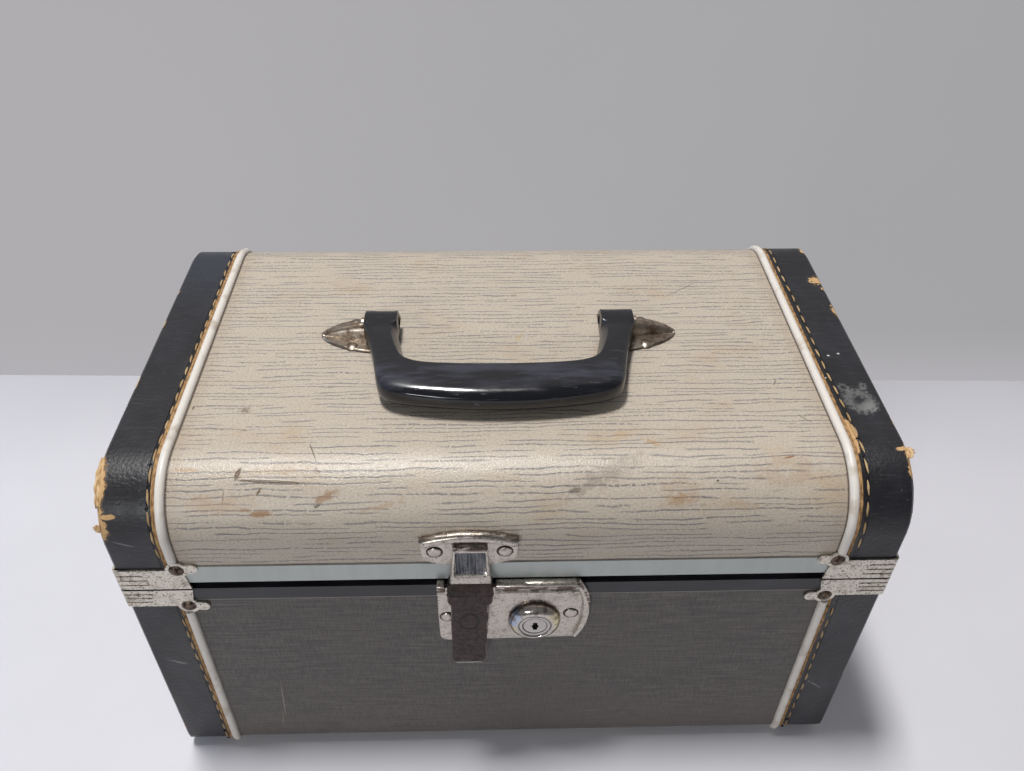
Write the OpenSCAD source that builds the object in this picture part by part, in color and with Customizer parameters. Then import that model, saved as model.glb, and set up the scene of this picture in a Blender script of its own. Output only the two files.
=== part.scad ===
// Makeup train case: a covered board box with a hinged lid, stitched end caps, welts,
// metal corner plates, a lever catch with a key lock, a folding handle and a lift-out tray.
// Millimetres. X runs along the width, the front faces -Y, and the feet stand on Z = 0.

/* [Case] */
// Width across the two end caps
case_w = 330; // [290:1:380]
// Depth from the front cover to the back cover
case_d = 198; // [175:1:230]
// Height of the base, from its bottom cover to the seam
base_h = 130; // [115:1:160]
// Height of the lid, from the seam to its top cover
lid_h = 55.5; // [50:0.5:75]
// Radius of the lid's top edges
lid_r = 28; // [20:1:34]
// Radius of the base's bottom edges
base_r = 8; // [6:0.5:14]

/* [Boards and coverings] */
// Thickness of the box board
board_t = 4.5; // [3.5:0.5:6]
// Thickness of the woven-look cover
cover_t = 0.8; // [0.6:0.1:1]
// Thickness of the end caps and the rim trims
cap_t = 1.2; // [1:0.1:1.6]
// Width of the end caps' wrap-over band
band_w = 23; // [18:1:30]
// Radius of the welt
welt_r = 2; // [1.5:0.1:2.4]
// Thickness of the lining
lining_t = 0.6; // [0.4:0.1:1]

/* [Rims] */
// Gap between the seam and the bottom of the lid trim
trim_gap = 3.7; // [2.5:0.1:5]
// Height of the metal lid trim
trim_h = 10.1; // [8:0.1:14]
// Height of the base's rim binding
binding_h = 7.5; // [6:0.1:9]
// Thickness of the rim tongue
tongue_t = 2.5; // [2:0.1:3.5]
// How far the tongue rises above the seam
tongue_rise = 7; // [5:0.5:9]
// How far the tongue reaches down inside the base
tongue_drop = 20; // [16:1:26]

/* [Corner plates] */
// Length of each leg of a corner plate
plate_leg = 30; // [26:1:36]
// Height of a lid corner plate
lid_plate_h = 12.6; // [11:0.1:16]
// Height of a base corner plate
base_plate_h = 11.2; // [10:0.1:14]
// Thickness of the corner plates
plate_t = 0.9; // [0.7:0.1:1.2]
// Radius of the corner rivet heads
corner_rivet_r = 3.2; // [2.6:0.1:3.6]

/* [Handle] */
// Offset of the handle from the middle of the case
handle_x = -3; // [-10:1:10]
// Width across the handle's two ends
handle_w = 126; // [115:1:140]
// Width of each end of the handle
lug_w = 16; // [14:1:20]
// Reach from the pivot to the outer edge of the grip
handle_reach = 61.5; // [56:0.5:66]
// Thickness of the handle at its pivot
lug_t = 12; // [11:0.5:13]
// Radius of the bracket's axle
axle_r = 3.2; // [2.5:0.1:3.8]
// Offset of the handle's pivot from the middle of the lid
pivot_y = 4; // [-2:1:8]

/* [Catch and lock] */
// Offset of the catch from the middle of the case
catch_x = -17; // [-20:1:-15]
// Width of the lock plate's straight part
lock_w = 63; // [60:1:68]
// Height of the lock plate
lock_h = 41; // [38:1:44]
// Offset of the key cylinder from the middle of the case
key_x = 11.2; // [10:0.1:13]
// Radius of the key plug
plug_r = 5.4; // [4.8:0.1:6]
// Length of the lever below its pin
lever_len = 45; // [40:1:50]

/* [Hinges and stay] */
// Distance of each hinge from the welt beside it
hinge_inset = 45; // [25:1:70]
// Width of each hinge
hinge_w = 36; // [30:1:44]
// Radius of the hinge knuckles
knuckle_r = 3.4; // [2.8:0.1:3.8]
// Radius of the hinge pins
pin_r = 1.5; // [1.2:0.1:1.8]
// Angle through which the lid opens
lid_open = 100; // [90:1:105]
// Distance from the hinge to each of the stay's rivets
stay_radius = 62; // [55:1:64]
// Width of the stay arm
stay_w = 10; // [9:0.5:12]
// Thickness of the stay arm
stay_t = 1.2; // [1:0.1:1.5]

/* [Tray, mirror and feet] */
// Height of the tray
tray_h = 28; // [22:1:32]
// Thickness of the tray's walls
tray_t = 2; // [1.6:0.1:3]
// Width of the mirror glass
mirror_w = 180; // [140:1:220]
// Depth of the mirror glass
mirror_d = 110; // [90:1:120]
// Height of the feet
foot_h = 2.4; // [2.4:0.1:6]
// Radius of the feet
foot_r = 7; // [5:0.5:9]

/* [Hidden] */
$fn = 64;

cream = [0.80, 0.70, 0.56];
tweed = [0.33, 0.30, 0.28];
navy = [0.10, 0.11, 0.14];
ivory = [0.84, 0.80, 0.76];
nickel = [0.72, 0.69, 0.64];
chrome = [0.82, 0.82, 0.82];
dark_steel = [0.17, 0.12, 0.11];
trim_grey = [0.60, 0.63, 0.60];
board_brown = [0.55, 0.42, 0.28];
satin = [0.78, 0.72, 0.62];

eps = 0.01;
proud = cap_t - cover_t;                    // how far caps and trims stand out from the covers
bottom_z = foot_h + proud;                  // underside of the bottom cover
seam_z = bottom_z + base_h;
top_z = seam_z + lid_h;                     // outside of the top cover
half_w = case_w / 2;
half_d = case_d / 2;
board_x = half_w - cap_t;                   // outside of the end boards
board_y = half_d - cover_t;                 // outside of the front and back boards
inner_x = board_x - board_t;
inner_y = board_y - board_t;
welt_x = half_w - band_w - welt_r;          // middle of the welt
cover_x = welt_x - welt_r;                  // edge of the woven-look cover
band_x = half_w - band_w;                   // edge of the end cap
trim_z0 = seam_z + trim_gap;
trim_z1 = trim_z0 + trim_h;
rim_z = seam_z - 0.5;                       // top of the base binding
binding_z = rim_z - binding_h;
floor_z = bottom_z + cover_t + board_t;     // inside floor of the base board
ceiling_z = top_z - cover_t - board_t;      // inside of the lid board
face_y = half_d + proud;                    // outside of trims, bindings and caps
seam_clear = 0.2;
run_clear = 0.06;                           // radial clearance of a turning pin
seat_gap = 0.3;
glue = 0.02;                                // glue line under a curved skin

// ---- shared shapes ---------------------------------------------------------------

// Extrudes a (Y, Z) outline along X.
module along_x(x0, x1) {
  translate([x0, 0, 0]) rotate([90, 0, 90]) linear_extrude(x1 - x0) children();
}

// Outline of the lid across X, moved out by grow, from z0 up.
module lid_outline(grow, z0) {
  half = half_d + grow;
  r = lid_r + grow;
  top = top_z + grow;
  translate([-half, z0]) square([2 * half, top - r - z0]);
  translate([r - half, z0]) square([2 * (half - r), top - z0]);
  for (s = [-1, 1]) intersection() {
    translate([s * (half - r), top - r]) circle(r);
    translate([s * (half - r / 2) - r / 2, top - r]) square(r);
  }
}

// Outline of the base across X, moved out by grow, up to z1.
module base_outline(grow, z1) {
  half = half_d + grow;
  r = base_r + grow;
  low = bottom_z - grow;
  translate([-half, low + r]) square([2 * half, z1 - low - r]);
  translate([r - half, low]) square([2 * (half - r), z1 - low]);
  for (s = [-1, 1]) translate([s * (half - r), low + r]) circle(r);
}

// Rectangle with round corners, seen from above.
module plan(hx, hy, r) {
  if (r > 0) {
    square([2 * hx, 2 * (hy - r)], center = true);
    square([2 * (hx - r), 2 * hy], center = true);
    for (sx = [-1, 1], sy = [-1, 1]) translate([sx * (hx - r), sy * (hy - r)]) circle(r);
  } else {
    square([2 * hx, 2 * hy], center = true);
  }
}

// Band of height z0..z1 that follows the box's four sides.
module rim_band(z0, z1, out, inside, r) {
  translate([0, 0, z0]) linear_extrude(z1 - z0) difference() {
    plan(board_x + out, board_y + out, r);
    square([2 * (board_x - inside), 2 * (board_y - inside)], center = true);
  }
}

// Rivet with a low domed head, standing on the XY plane, shank pointing down.
module rivet(head_r, head_h, shank_r, shank_l) {
  dome_r = (head_r * head_r + head_h * head_h) / (2 * head_h);
  intersection() {
    translate([0, 0, head_h - dome_r]) sphere(dome_r);
    cylinder(r = head_r, h = head_h);
  }
  translate([0, 0, -shank_l]) cylinder(r = shank_r, h = shank_l + head_h / 2);
}

// ---- coverings -------------------------------------------------------------------

module lid_shell() color(board_brown) difference() {
  along_x(-board_x, board_x) lid_outline(-cover_t - glue, trim_z0 + cover_t);
  along_x(-inner_x, inner_x) lid_outline(-cover_t - board_t, trim_z0 - 1);
}

module base_shell() color(board_brown) difference() {
  along_x(-board_x, board_x) base_outline(-cover_t - glue, rim_z - cover_t);
  along_x(-inner_x, inner_x) base_outline(-cover_t - board_t, rim_z + 1);
  lock_pocket();
}

module lid_cover() color(cream) difference() {
  along_x(-cover_x, cover_x) lid_outline(0, trim_z1);
  along_x(-cover_x - 1, cover_x + 1) lid_outline(-cover_t, trim_z1 - 1);
}

module base_cover() color(tweed) difference() {
  along_x(-cover_x, cover_x) base_outline(0, binding_z);
  along_x(-cover_x - 1, cover_x + 1) base_outline(-cover_t, binding_z + 1);
  lock_pocket();
}

cap_edge = 1.4;   // chamfer of an end cap's outer edge

module lid_end_cap() color(navy) difference() {
  union() {
    along_x(band_x, half_w - cap_edge) lid_outline(proud, trim_z1);
    hull() {
      along_x(half_w - cap_edge - eps, half_w - cap_edge) lid_outline(proud, trim_z1, $fn = 32);
      along_x(half_w - eps, half_w) lid_outline(proud - cap_edge, trim_z1, $fn = 32);
    }
  }
  along_x(band_x - 1, board_x) lid_outline(-cover_t, trim_z1 - 1);
}

module base_end_cap() color(navy) difference() {
  union() {
    along_x(band_x, half_w - cap_edge) base_outline(proud, binding_z);
    hull() {
      along_x(half_w - cap_edge - eps, half_w - cap_edge) base_outline(proud, binding_z, $fn = 32);
      along_x(half_w - eps, half_w) base_outline(proud - cap_edge, binding_z, $fn = 32);
    }
  }
  along_x(band_x - 1, board_x) base_outline(-cover_t, binding_z + 1);
}

// ---- welts -----------------------------------------------------------------------

welt_rise = 0.2;   // height of the welt's middle above the cover

// Section of a welt: a round cord with a flat back that lies on the board.
module welt_section() {
  intersection() {
    translate([0, welt_rise]) circle(welt_r, $fn = 24);
    translate([-welt_r, -cover_t]) square([2 * welt_r, 2 * welt_r + cover_t]);
  }
}

// A straight welt from the origin towards +Z, its round side to -Y.
module welt_run(length) {
  if (length > 0) linear_extrude(length) rotate(180) welt_section();
}

// A quarter bend about an X axis through the origin, from -Y up to +Z.
module welt_bend(r) {
  rotate([90, 0, -90]) rotate_extrude(angle = 90) translate([r, 0]) rotate(-90) welt_section();
}

module lid_welt() color(ivory) translate([welt_x, 0, 0]) {
  side_z = seam_z + lid_plate_h + corner_lobe_r + seat_gap;
  bend_z = top_z - lid_r;
  for (s = [0, 1]) mirror([0, s, 0]) {
    translate([0, -half_d, side_z]) welt_run(bend_z - side_z + eps);
    translate([0, lid_r - half_d, bend_z]) welt_bend(lid_r);
  }
  translate([0, lid_r - half_d, top_z]) rotate([-90, 0, 0]) welt_run(case_d - 2 * lid_r);
}

module base_welt() color(ivory) translate([welt_x, 0, 0]) {
  side_z = seam_z - base_plate_h - corner_lobe_r - seat_gap;
  bend_z = bottom_z + base_r;
  for (s = [0, 1]) mirror([0, s, 0]) {
    translate([0, -half_d, bend_z - eps]) welt_run(side_z - bend_z + eps);
    translate([0, base_r - half_d, bend_z]) mirror([0, 0, 1]) welt_bend(base_r);
  }
  translate([0, base_r - half_d, bottom_z]) rotate([-90, 0, 0]) rotate([0, 0, 180])
    welt_run(case_d - 2 * base_r);
}

// ---- rims ------------------------------------------------------------------------

module lid_trim() color(trim_grey) {
  difference() {
    rim_band(trim_z0, trim_z1, cap_t, board_t, 3);
    rim_band(trim_z0 + cover_t, trim_z1 + 1, 0, board_t + 1, 0);
  }
}

module base_binding() color(navy) difference() {
  rim_band(binding_z, rim_z, cap_t, board_t, 3);
  rim_band(binding_z - 1, rim_z - cover_t, 0, board_t + 1, 0);
  claw_slot();
}

tongue_clear = 0.9;   // gap between the tongue and the lid

module rim_tongue() color([0.03, 0.03, 0.035]) difference() {
  rim_band(seam_z - tongue_drop, seam_z + tongue_rise, -board_t, board_t + tongue_t, 0);
  translate([0, 0, rim_z]) linear_extrude(tongue_rise + 1) difference() {
    square([2 * inner_x + 2, 2 * inner_y + 2], center = true);
    plan(inner_x - tongue_clear, inner_y - tongue_clear, 2);
  }
}

module base_lining() color(satin) difference() {
  along_x(-inner_x, inner_x) base_outline(-cover_t - board_t - glue, seam_z - tongue_drop);
  along_x(lining_t - inner_x, inner_x - lining_t)
    base_outline(-cover_t - board_t - lining_t, seam_z);
  translate([pocket_x0 - cover_lap, -inner_y - 1, pocket_z0 - cover_lap])
    cube([pocket_x1 - pocket_x0 + 2 * cover_lap, lining_t + 2, base_h]);
}

lid_lining_z = seam_z + tongue_rise + 1;   // lower edge of the lid's lining

module lid_lining() color(satin) difference() {
  along_x(-inner_x, inner_x) lid_outline(-cover_t - board_t - glue, lid_lining_z);
  along_x(lining_t - inner_x, inner_x - lining_t)
    lid_outline(-cover_t - board_t - lining_t, lid_lining_z - 1);
  translate([0, stay_lid_y, stay_lid_z]) rotate([0, 90, 0])
    cylinder(r = shoulder_r + run_clear, h = half_w);
}

// ---- corner plates ---------------------------------------------------------------

corner_rivet_x = half_w - 26;   // rivet's place along the front
corner_lobe_r = 4.6;
corner_ear_r = 2.6;
groove_h = 0.8;
groove_d = 0.35;
groove_l = 13;

// Flat outline of one leg, from the corner at u = 0 along +U, with the seam edge at v = 0.
module plate_leg_outline(h) {
  lobe_u = half_w - corner_rivet_x;
  square([lobe_u, h]);
  polygon([[0, 0], [plate_leg, 0], [lobe_u + 2, h], [0, h]]);
  translate([lobe_u, h]) circle(corner_lobe_r);
  hull() {
    translate([lobe_u, h]) circle(corner_ear_r, $fn = 24);
    translate([lobe_u + 6.2, h + 0.6]) circle(corner_ear_r, $fn = 24);
  }
}

// Corner plate of the front right corner, seam edge on Z = 0, height along +Z.
module corner_plate(h) {
  difference() {
    intersection() {
      union() {
        translate([half_w, -face_y, 0]) rotate([90, 0, 0]) mirror([1, 0, 0])
          linear_extrude(plate_t) plate_leg_outline(h);
        translate([half_w, -face_y, 0]) rotate([90, 0, 90])
          linear_extrude(plate_t) plate_leg_outline(h);
        translate([half_w - eps, -face_y - plate_t, 0]) cube([plate_t + eps, plate_t + eps, h]);
      }
      translate([0, 0, -1]) linear_extrude(h + 2 * corner_lobe_r)
        plan(half_w + plate_t, face_y + plate_t, 2);
    }
    for (i = [0:2]) translate([0, 0, h * (0.26 + 0.24 * i) - groove_h / 2]) {
      translate([half_w - groove_l + i * 0.8, -face_y - plate_t - 1, 0])
        cube([groove_l + 5, 1 + groove_d, groove_h]);
      translate([half_w + plate_t - groove_d, -face_y - plate_t - 1, 0])
        cube([groove_d + 1, groove_l + 1 - i * 0.8, groove_h]);
    }
    corner_rivet_places(h) translate([0, 0, -3]) cylinder(r = corner_shank_r, h = 6);
  }
}

corner_shank_r = 1.6;

// Puts its child on both rivet places of the front right corner plate, Z outwards.
module corner_rivet_places(h) {
  translate([corner_rivet_x, -face_y - plate_t, h]) rotate([90, 0, 0]) children();
  translate([half_w + plate_t, half_w - corner_rivet_x - face_y, h]) rotate([0, 90, 0]) children();
}

module corner_rivet_set(h) {
  for (sx = [0, 1], sy = [0, 1]) mirror([sx, 0, 0]) mirror([0, sy, 0])
    corner_rivet_places(h) rivet(corner_rivet_r, 1.4, corner_shank_r - run_clear, plate_t);
}

module lid_corner() color(nickel) translate([0, 0, seam_z + seam_clear / 2]) corner_plate(lid_plate_h);
module base_corner() color(nickel) translate([0, 0, seam_z - seam_clear / 2])
  mirror([0, 0, 1]) corner_plate(base_plate_h);
module lid_corner_rivets() color(dark_steel) translate([0, 0, seam_z + seam_clear / 2])
  corner_rivet_set(lid_plate_h);
module base_corner_rivets() color(dark_steel) translate([0, 0, seam_z - seam_clear / 2])
  mirror([0, 0, 1]) corner_rivet_set(base_plate_h);

// ---- feet ------------------------------------------------------------------------

foot_x = half_w - 13;
foot_y = half_d - 22;

module feet() color(nickel) for (sx = [-1, 1], sy = [-1, 1]) translate([sx * foot_x, sy * foot_y, 0])
  rotate_extrude() polygon([[0, 0], [foot_r - 1, 0], [foot_r, 1], [foot_r, foot_h], [0, foot_h]]);

// ---- handle ----------------------------------------------------------------------

bracket_t = 0.9;                                       // sheet of the handle brackets
pivot_z = top_z + bracket_t + seat_gap + lug_t / 2;    // handle's pivot
lug_x = handle_w / 2;                                  // outer face of a lug
lug_in = lug_x - lug_w;                                // inner face of a lug
ridge_r = axle_r + 1.1;                                // outside of a bracket's raised ridge
grip_in = 38;                                          // from the pivot to the grip's inner edge
grip_top = 8.3;                                        // grip's crest above the pivot
grip_front_top = 4.6;                                  // top of the grip's front face, from the pivot
grip_front_low = -1.5;                                 // bottom of the grip's front face
grip_undercut = (grip_front_low + lug_t / 2) / 10;     // slope of the underside behind it
grip_bow_r = 200;                                      // radius of the grip's bowed front
grip_bow_end = 13.9;                                   // angle at which the bow meets each corner
grip_corner_r = 7;
grip_bow_y = grip_bow_r - handle_reach;                // middle of the bow's circle, from the pivot
grip_corner = [(grip_bow_r - grip_corner_r) * sin(grip_bow_end),
  grip_bow_y - (grip_bow_r - grip_corner_r) * cos(grip_bow_end)];

// Points of an arc in the plane, from angle a to angle b.
function arc(cx, cy, r, a, b, n) = [for (i = [0:n]) let (t = a + (b - a) * i / n)
  [cx + r * cos(t), cy + r * sin(t)]];

// Handle seen from above: the outer and the inner edge of its right half, front to -Y.
handle_outer = concat([[lug_x, lug_t / 2], [lug_x, -6], [lug_x - 6, -grip_in + 9]],
  arc(grip_corner[0], grip_corner[1], grip_corner_r, -8, grip_bow_end - 90, 6),
  arc(0, grip_bow_y, grip_bow_r, grip_bow_end - 92, -90, 8));
handle_inner = concat([[0, -grip_in], [12, -grip_in + 0.6], [lug_in - 14, -grip_in + 2]],
  arc(lug_in - 14, -grip_in + 12, 10, -80, -12, 5), [[lug_in, -8], [lug_in, lug_t / 2]]);

// The same edge on the left, in the other order.
function other_side(edge) = [for (i = [len(edge) - 1:-1:0]) if (edge[i][0] > 0) [-edge[i][0], edge[i][1]]];

// Handle seen from its end: Y along the reach, Z up, both from the pivot.
module handle_side() {
  h = lug_t / 2;
  front = -handle_reach;
  polygon(concat(arc(0, 0, h, 90, -90, 12),
    [[front - 1, -h], [front - 1, grip_front_top], [front + 1, grip_front_top + 0.9]],
    arc(front + 16, grip_top - 30, 30, 114, 84, 6), [[-grip_in + 10, h + 1.2]]));
}

module handle_grip() color([0.06, 0.07, 0.09]) translate([handle_x, pivot_y, pivot_z]) difference() {
  intersection() {
    translate([0, 0, -handle_reach]) linear_extrude(2 * handle_reach) polygon(concat(
      handle_outer, other_side(handle_outer), other_side(handle_inner), handle_inner));
    along_x(-handle_w, handle_w) handle_side();
  }
  along_x(-handle_w, handle_w) circle(axle_r + run_clear);
  translate([0, grip_bow_y, 0]) rotate_extrude() polygon([[grip_bow_r + 4, -lug_t],
    [grip_bow_r + 4, grip_front_low + 4 * grip_undercut],
    [grip_bow_r - 14, grip_front_low - 14 * grip_undercut], [grip_bow_r - 14, -lug_t]]);
}

leaf_x = lug_x - 1;             // widest place of a bracket's leaf
leaf_w = 30;
leaf_tip = leaf_x + 22.4;
leaf_r = (pow(leaf_tip - leaf_x, 2) + pow(leaf_w / 2, 2)) / leaf_w;
leaf_in = lug_in - 2.6;         // inner end of a bracket
bracket_rivet_x = lug_x + 5.8;
bracket_rivet_y = 9.3;

// Bracket on the +X side, around the pivot.
module handle_bracket() color(nickel) translate([handle_x, pivot_y, pivot_z]) {
  low = -lug_t / 2 - seat_gap - bracket_t;
  difference() {
    translate([0, 0, low]) linear_extrude(bracket_t) intersection() {
      translate([leaf_x, leaf_w / 2 - leaf_r]) circle(leaf_r);
      translate([leaf_x, leaf_r - leaf_w / 2]) circle(leaf_r);
      translate([leaf_in, -leaf_w]) square([leaf_tip, 2 * leaf_w]);
    }
    for (s = [-1, 1]) translate([bracket_rivet_x, s * bracket_rivet_y, low - 1]) cylinder(r = 1.5, h = 4);
  }
  along_x(leaf_in, lug_in - seat_gap) intersection() {
    ridge_section(low);
    translate([-ridge_r, low]) square([2 * ridge_r, -low - 1]);
  }
  along_x(lug_x + seat_gap, leaf_tip - 13) ridge_section(low);
  along_x(lug_in - 1, lug_x + 1) circle(axle_r);
  hull() {
    along_x(leaf_tip - 13 - eps, leaf_tip - 13) ridge_section(low, $fn = 32);
    translate([leaf_tip - 3.5, 0, low]) cylinder(r = 1.2, h = bracket_t + 0.3, $fn = 24);
  }
}

module ridge_section(low) {
  circle(ridge_r);
  translate([-ridge_r, low]) square([2 * ridge_r, -low]);
}

module bracket_rivets() color(nickel) translate([handle_x, pivot_y, pivot_z - lug_t / 2 - seat_gap])
  for (sx = [-1, 1], sy = [-1, 1]) translate([sx * bracket_rivet_x, sy * bracket_rivet_y, 0])
    rivet(3, 1.1, 1.5 - run_clear, bracket_t);

// ---- catch and lock --------------------------------------------------------------

sheet_t = 1;                            // sheet of the lock plate and the catch plate
lever_pin_r = 1.2;
lever_pin_out = 5;                      // from the cover to the lever's pin
lever_pin_y = -half_d - lever_pin_out;
lever_pin_z = seam_z - 3;
ear_half = 9.6;                         // half width of the lever across its ears
lever_half = 8.1;                       // half width of the lever below them
ear_in = 6.4;
cheek_in = 4.4;                         // inner face of the lock plate's cheeks
cheek_t = 1.6;
hook_half = 3;                          // half width of the catch's inner hook
claw_half = 3.3;                        // half width of the lever's claw
claw_r0 = 5.2;
claw_r1 = 6.8;
lever_front = -4.7;                     // front of the lever's plate, from the pin
lever_back = -3.2;
lever_top = 3;
lever_flare = 1.4;                      // how far the lever's lower end stands further out
key_z = seam_z - 25;
lock_x0 = catch_x - 14.5;
lock_x1 = lock_x0 + lock_w;
lock_top = rim_z;
lock_bulge = 4;
bead_h = 6.3;                           // folded bead along the lock plate's top
bead_t = 1.3;
slot_half = cheek_in - 0.5;
pocket_x0 = catch_x + slot_half - eps;  // mortise behind the lock plate
pocket_x1 = key_x + plug_r + 6;
pocket_z0 = key_z - plug_r - 3;
pocket_z1 = seam_z - 5.5;
slot_low = claw_r1 + 0.5;               // slot's lower end, below the pin

// Section through the catch, in (Y, Z) from the lever's pin, extruded over a half width.
module at_pin(x0, x1) {
  translate([catch_x, lever_pin_y, lever_pin_z]) along_x(x0, x1) children();
}

// Points in (Y, Z) from the pin, at a radius and an angle from straight up towards the front.
function from_pin(r, a) = [-r * sin(a), r * cos(a)];

// Slot in the rim that the lever's claw swings into.
module claw_slot() translate([catch_x - slot_half, -half_d - 1, lever_pin_z - slot_low])
  cube([2 * slot_half, claw_r1 - lever_pin_out + 1.5, slot_low + base_h]);

// The mortise in the board for the lock, with the claw's slot.
module lock_pocket() {
  translate([pocket_x0, -half_d - 1, pocket_z0])
    cube([pocket_x1 - pocket_x0, board_t + cover_t + 2, pocket_z1 - pocket_z0]);
  claw_slot();
}

lock_corner_r = 4;
lock_end_r = (lock_h * lock_h / 4 + lock_bulge * lock_bulge) / (2 * lock_bulge);
lock_end_a = asin(lock_h / 2 / lock_end_r);

// Front view of the lock plate: round left corners and a bowed right end.
module lock_outline() {
  low = lock_top - lock_h;
  polygon(concat(
    arc(lock_x0 + lock_corner_r, low + lock_corner_r, lock_corner_r, 180, 270, 6),
    arc(lock_x1 + lock_bulge - lock_end_r, lock_top - lock_h / 2, lock_end_r, -lock_end_a, lock_end_a, 14),
    arc(lock_x0 + lock_corner_r, lock_top - lock_corner_r, lock_corner_r, 90, 180, 6)));
}

lock_rivet_x = [catch_x - 10.5, lock_x1 - 4.5];
lock_rivet_z = seam_z - 23.5;
plug_hole_r = plug_r + 0.3;

module lock_plate() color(nickel) {
  difference() {
    union() {
      translate([0, -face_y, 0]) rotate([90, 0, 0]) linear_extrude(sheet_t) lock_outline();
      intersection() {
        translate([0, -face_y, 0]) rotate([90, 0, 0]) linear_extrude(2 * sheet_t + bead_t) lock_outline();
        along_x(lock_x0, lock_x1 + lock_bulge)
          translate([-face_y - sheet_t, lock_top - bead_h / 2]) bead_section();
      }
    }
    translate([catch_x - ear_half - 0.6, -face_y - sheet_t - 5, lock_top - bead_h - 1])
      cube([2 * ear_half + 1.2, 5, bead_h + 2]);
    translate([catch_x - slot_half, -face_y - 5, lever_pin_z - slot_low]) cube([2 * slot_half, 10, 20]);
    translate([key_x, 0, key_z]) rotate([90, 0, 0]) cylinder(r = plug_hole_r, h = 2 * half_d);
    for (x = lock_rivet_x) translate([x, 0, lock_rivet_z]) rotate([90, 0, 0]) cylinder(r = 1.5, h = 2 * half_d);
  }
  for (s = [-1, 1]) difference() {
    at_pin(s * (cheek_in + cheek_t / 2) - cheek_t / 2, s * (cheek_in + cheek_t / 2) + cheek_t / 2) {
      circle(2.7);
      translate([0, -2.3]) square([lever_pin_out - proud - sheet_t + eps, 4.4]);
    }
    at_pin(-ear_half, ear_half) circle(lever_pin_r + glue);
  }
}

// Section of the folded bead, round towards -Y.
module bead_section() {
  r = (bead_h * bead_h / 4 + bead_t * bead_t) / (2 * bead_t);
  a = asin(bead_h / 2 / r);
  polygon(concat(arc(r - bead_t, 0, r, 180 - a, 180 + a, 8), [[sheet_t / 2, -bead_h / 2], [sheet_t / 2, bead_h / 2]]));
}

module lock_rivets() color(nickel) for (x = lock_rivet_x)
  translate([x, -face_y - sheet_t, lock_rivet_z]) rotate([90, 0, 0])
    rivet(3, 1.2, 1.5 - run_clear, sheet_t);

bezel_r = 11.7;
bezel_h = 8.6;
bezel_face_r = 8.3;

module lock_bezel() color(chrome) translate([key_x, -face_y - sheet_t, key_z]) rotate([90, 0, 0])
  rotate_extrude() polygon(concat(
    [[plug_r + run_clear, 0], [bezel_r, 0], [bezel_r, 1]],
    arc(bezel_r - 6.2, 1, 6.2, 8, 48, 5),
    arc(bezel_face_r - 0.8, bezel_h - 0.8, 0.8, 0, 180, 6),
    [[plug_r + run_clear, bezel_h - 1.2]]));

plug_out = bezel_h - 1.4;      // plug's face, in front of the lock plate
plug_in = 3.2;                 // plug's tail, behind the front of the lock plate
cam_t = 1.1;
crank_r = plug_r - 1.8;        // from the plug's middle to the crank pin
crank_pin_r = 1.2;

module key_plug() color(chrome) translate([key_x, -face_y - sheet_t, key_z]) rotate([90, 0, 0]) difference() {
  union() {
    cylinder(r = plug_r, h = plug_out - 0.5);
    cylinder(r = plug_r - 0.5, h = plug_out);
    translate([0, 0, -plug_in]) cylinder(r = plug_r - 0.5, h = plug_in + eps);
  }
  difference() {
    translate([0, 0, plug_out - 0.4]) cylinder(r = plug_r - 1.3, h = 1);
    translate([0, 0, plug_out - 1]) cylinder(r = plug_r - 2.2, h = 2);
  }
  translate([0, 0, plug_out - 5]) cylinder(r = 1.3, h = 6);
  translate([-0.55, -4, plug_out - 5]) cube([1.1, 4, 6]);
}

bolt_t = 1.4;
bolt_y = -inner_y - seat_gap - bolt_t;             // front of the sliding bolt
bolt_travel = crank_r * sqrt(2);
bolt_tip = pocket_x0 + bolt_travel + 0.6;          // nose of the bolt, drawn back
bolt_nose = 6;
bolt_lead = 4;                                     // from the nose to the arm
bolt_arm_w = 5;
bolt_rail_h = 4;
bolt_foot_w = 10;
bolt_z1 = pocket_z1 - 0.4;
cam_y = -face_y - sheet_t + plug_in;
cover_lap = 2;

// Disc on the plug's tail, with a pin that drives the bolt.
module lock_cam() color(nickel) translate([key_x, cam_y, key_z]) rotate([-90, 0, 0]) {
  cylinder(r = plug_r - 0.5, h = cam_t);
  translate([crank_r / sqrt(2), crank_r / sqrt(2), 0])
    cylinder(r = crank_pin_r, h = bolt_y + bolt_t - cam_y - 0.1);
}

// Flat bolt: a slotted foot round the crank pin, and an arm up to its nose.
module lock_bolt() color(nickel) {
  foot_x = key_x + crank_r / sqrt(2);
  slot_w = 2 * crank_pin_r + 0.7;
  low = key_z - plug_r - 1.6;
  translate([0, bolt_y + bolt_t, 0]) rotate([90, 0, 0]) linear_extrude(bolt_t) difference() {
    union() {
      translate([foot_x - bolt_foot_w / 2, low]) square([bolt_foot_w, plug_r + 1]);
      translate([bolt_tip, low]) square([foot_x - bolt_tip, bolt_rail_h]);
      translate([bolt_tip, bolt_z1 - bolt_nose]) square([bolt_lead + bolt_arm_w, bolt_nose]);
      translate([bolt_tip + bolt_lead, low]) square([bolt_arm_w, bolt_z1 - low]);
    }
    translate([foot_x - slot_w / 2, low + 1.2]) square([slot_w, plug_r + 1]);
  }
}

// Plate over the mortise, inside the base.
module lock_cover() color(nickel) lock_cover_block(-0.1);

// The cover's block, grown all round for the room that it needs in its neighbours.
module lock_cover_block(grow)
  translate([pocket_x0 - cover_lap - grow, -inner_y, pocket_z0 - cover_lap - grow])
    cube([pocket_x1 - pocket_x0 + 2 * (cover_lap + grow), sheet_t + max(grow, 0),
      seam_z - tongue_drop - pocket_z0 + cover_lap + 2 * grow]);

module lever_pin() color(nickel)
  at_pin(-ear_half - 0.2, ear_half + 0.2) circle(lever_pin_r);

lever_low = -lever_len;
lever_out = lever_front - lever_flare;

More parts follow.
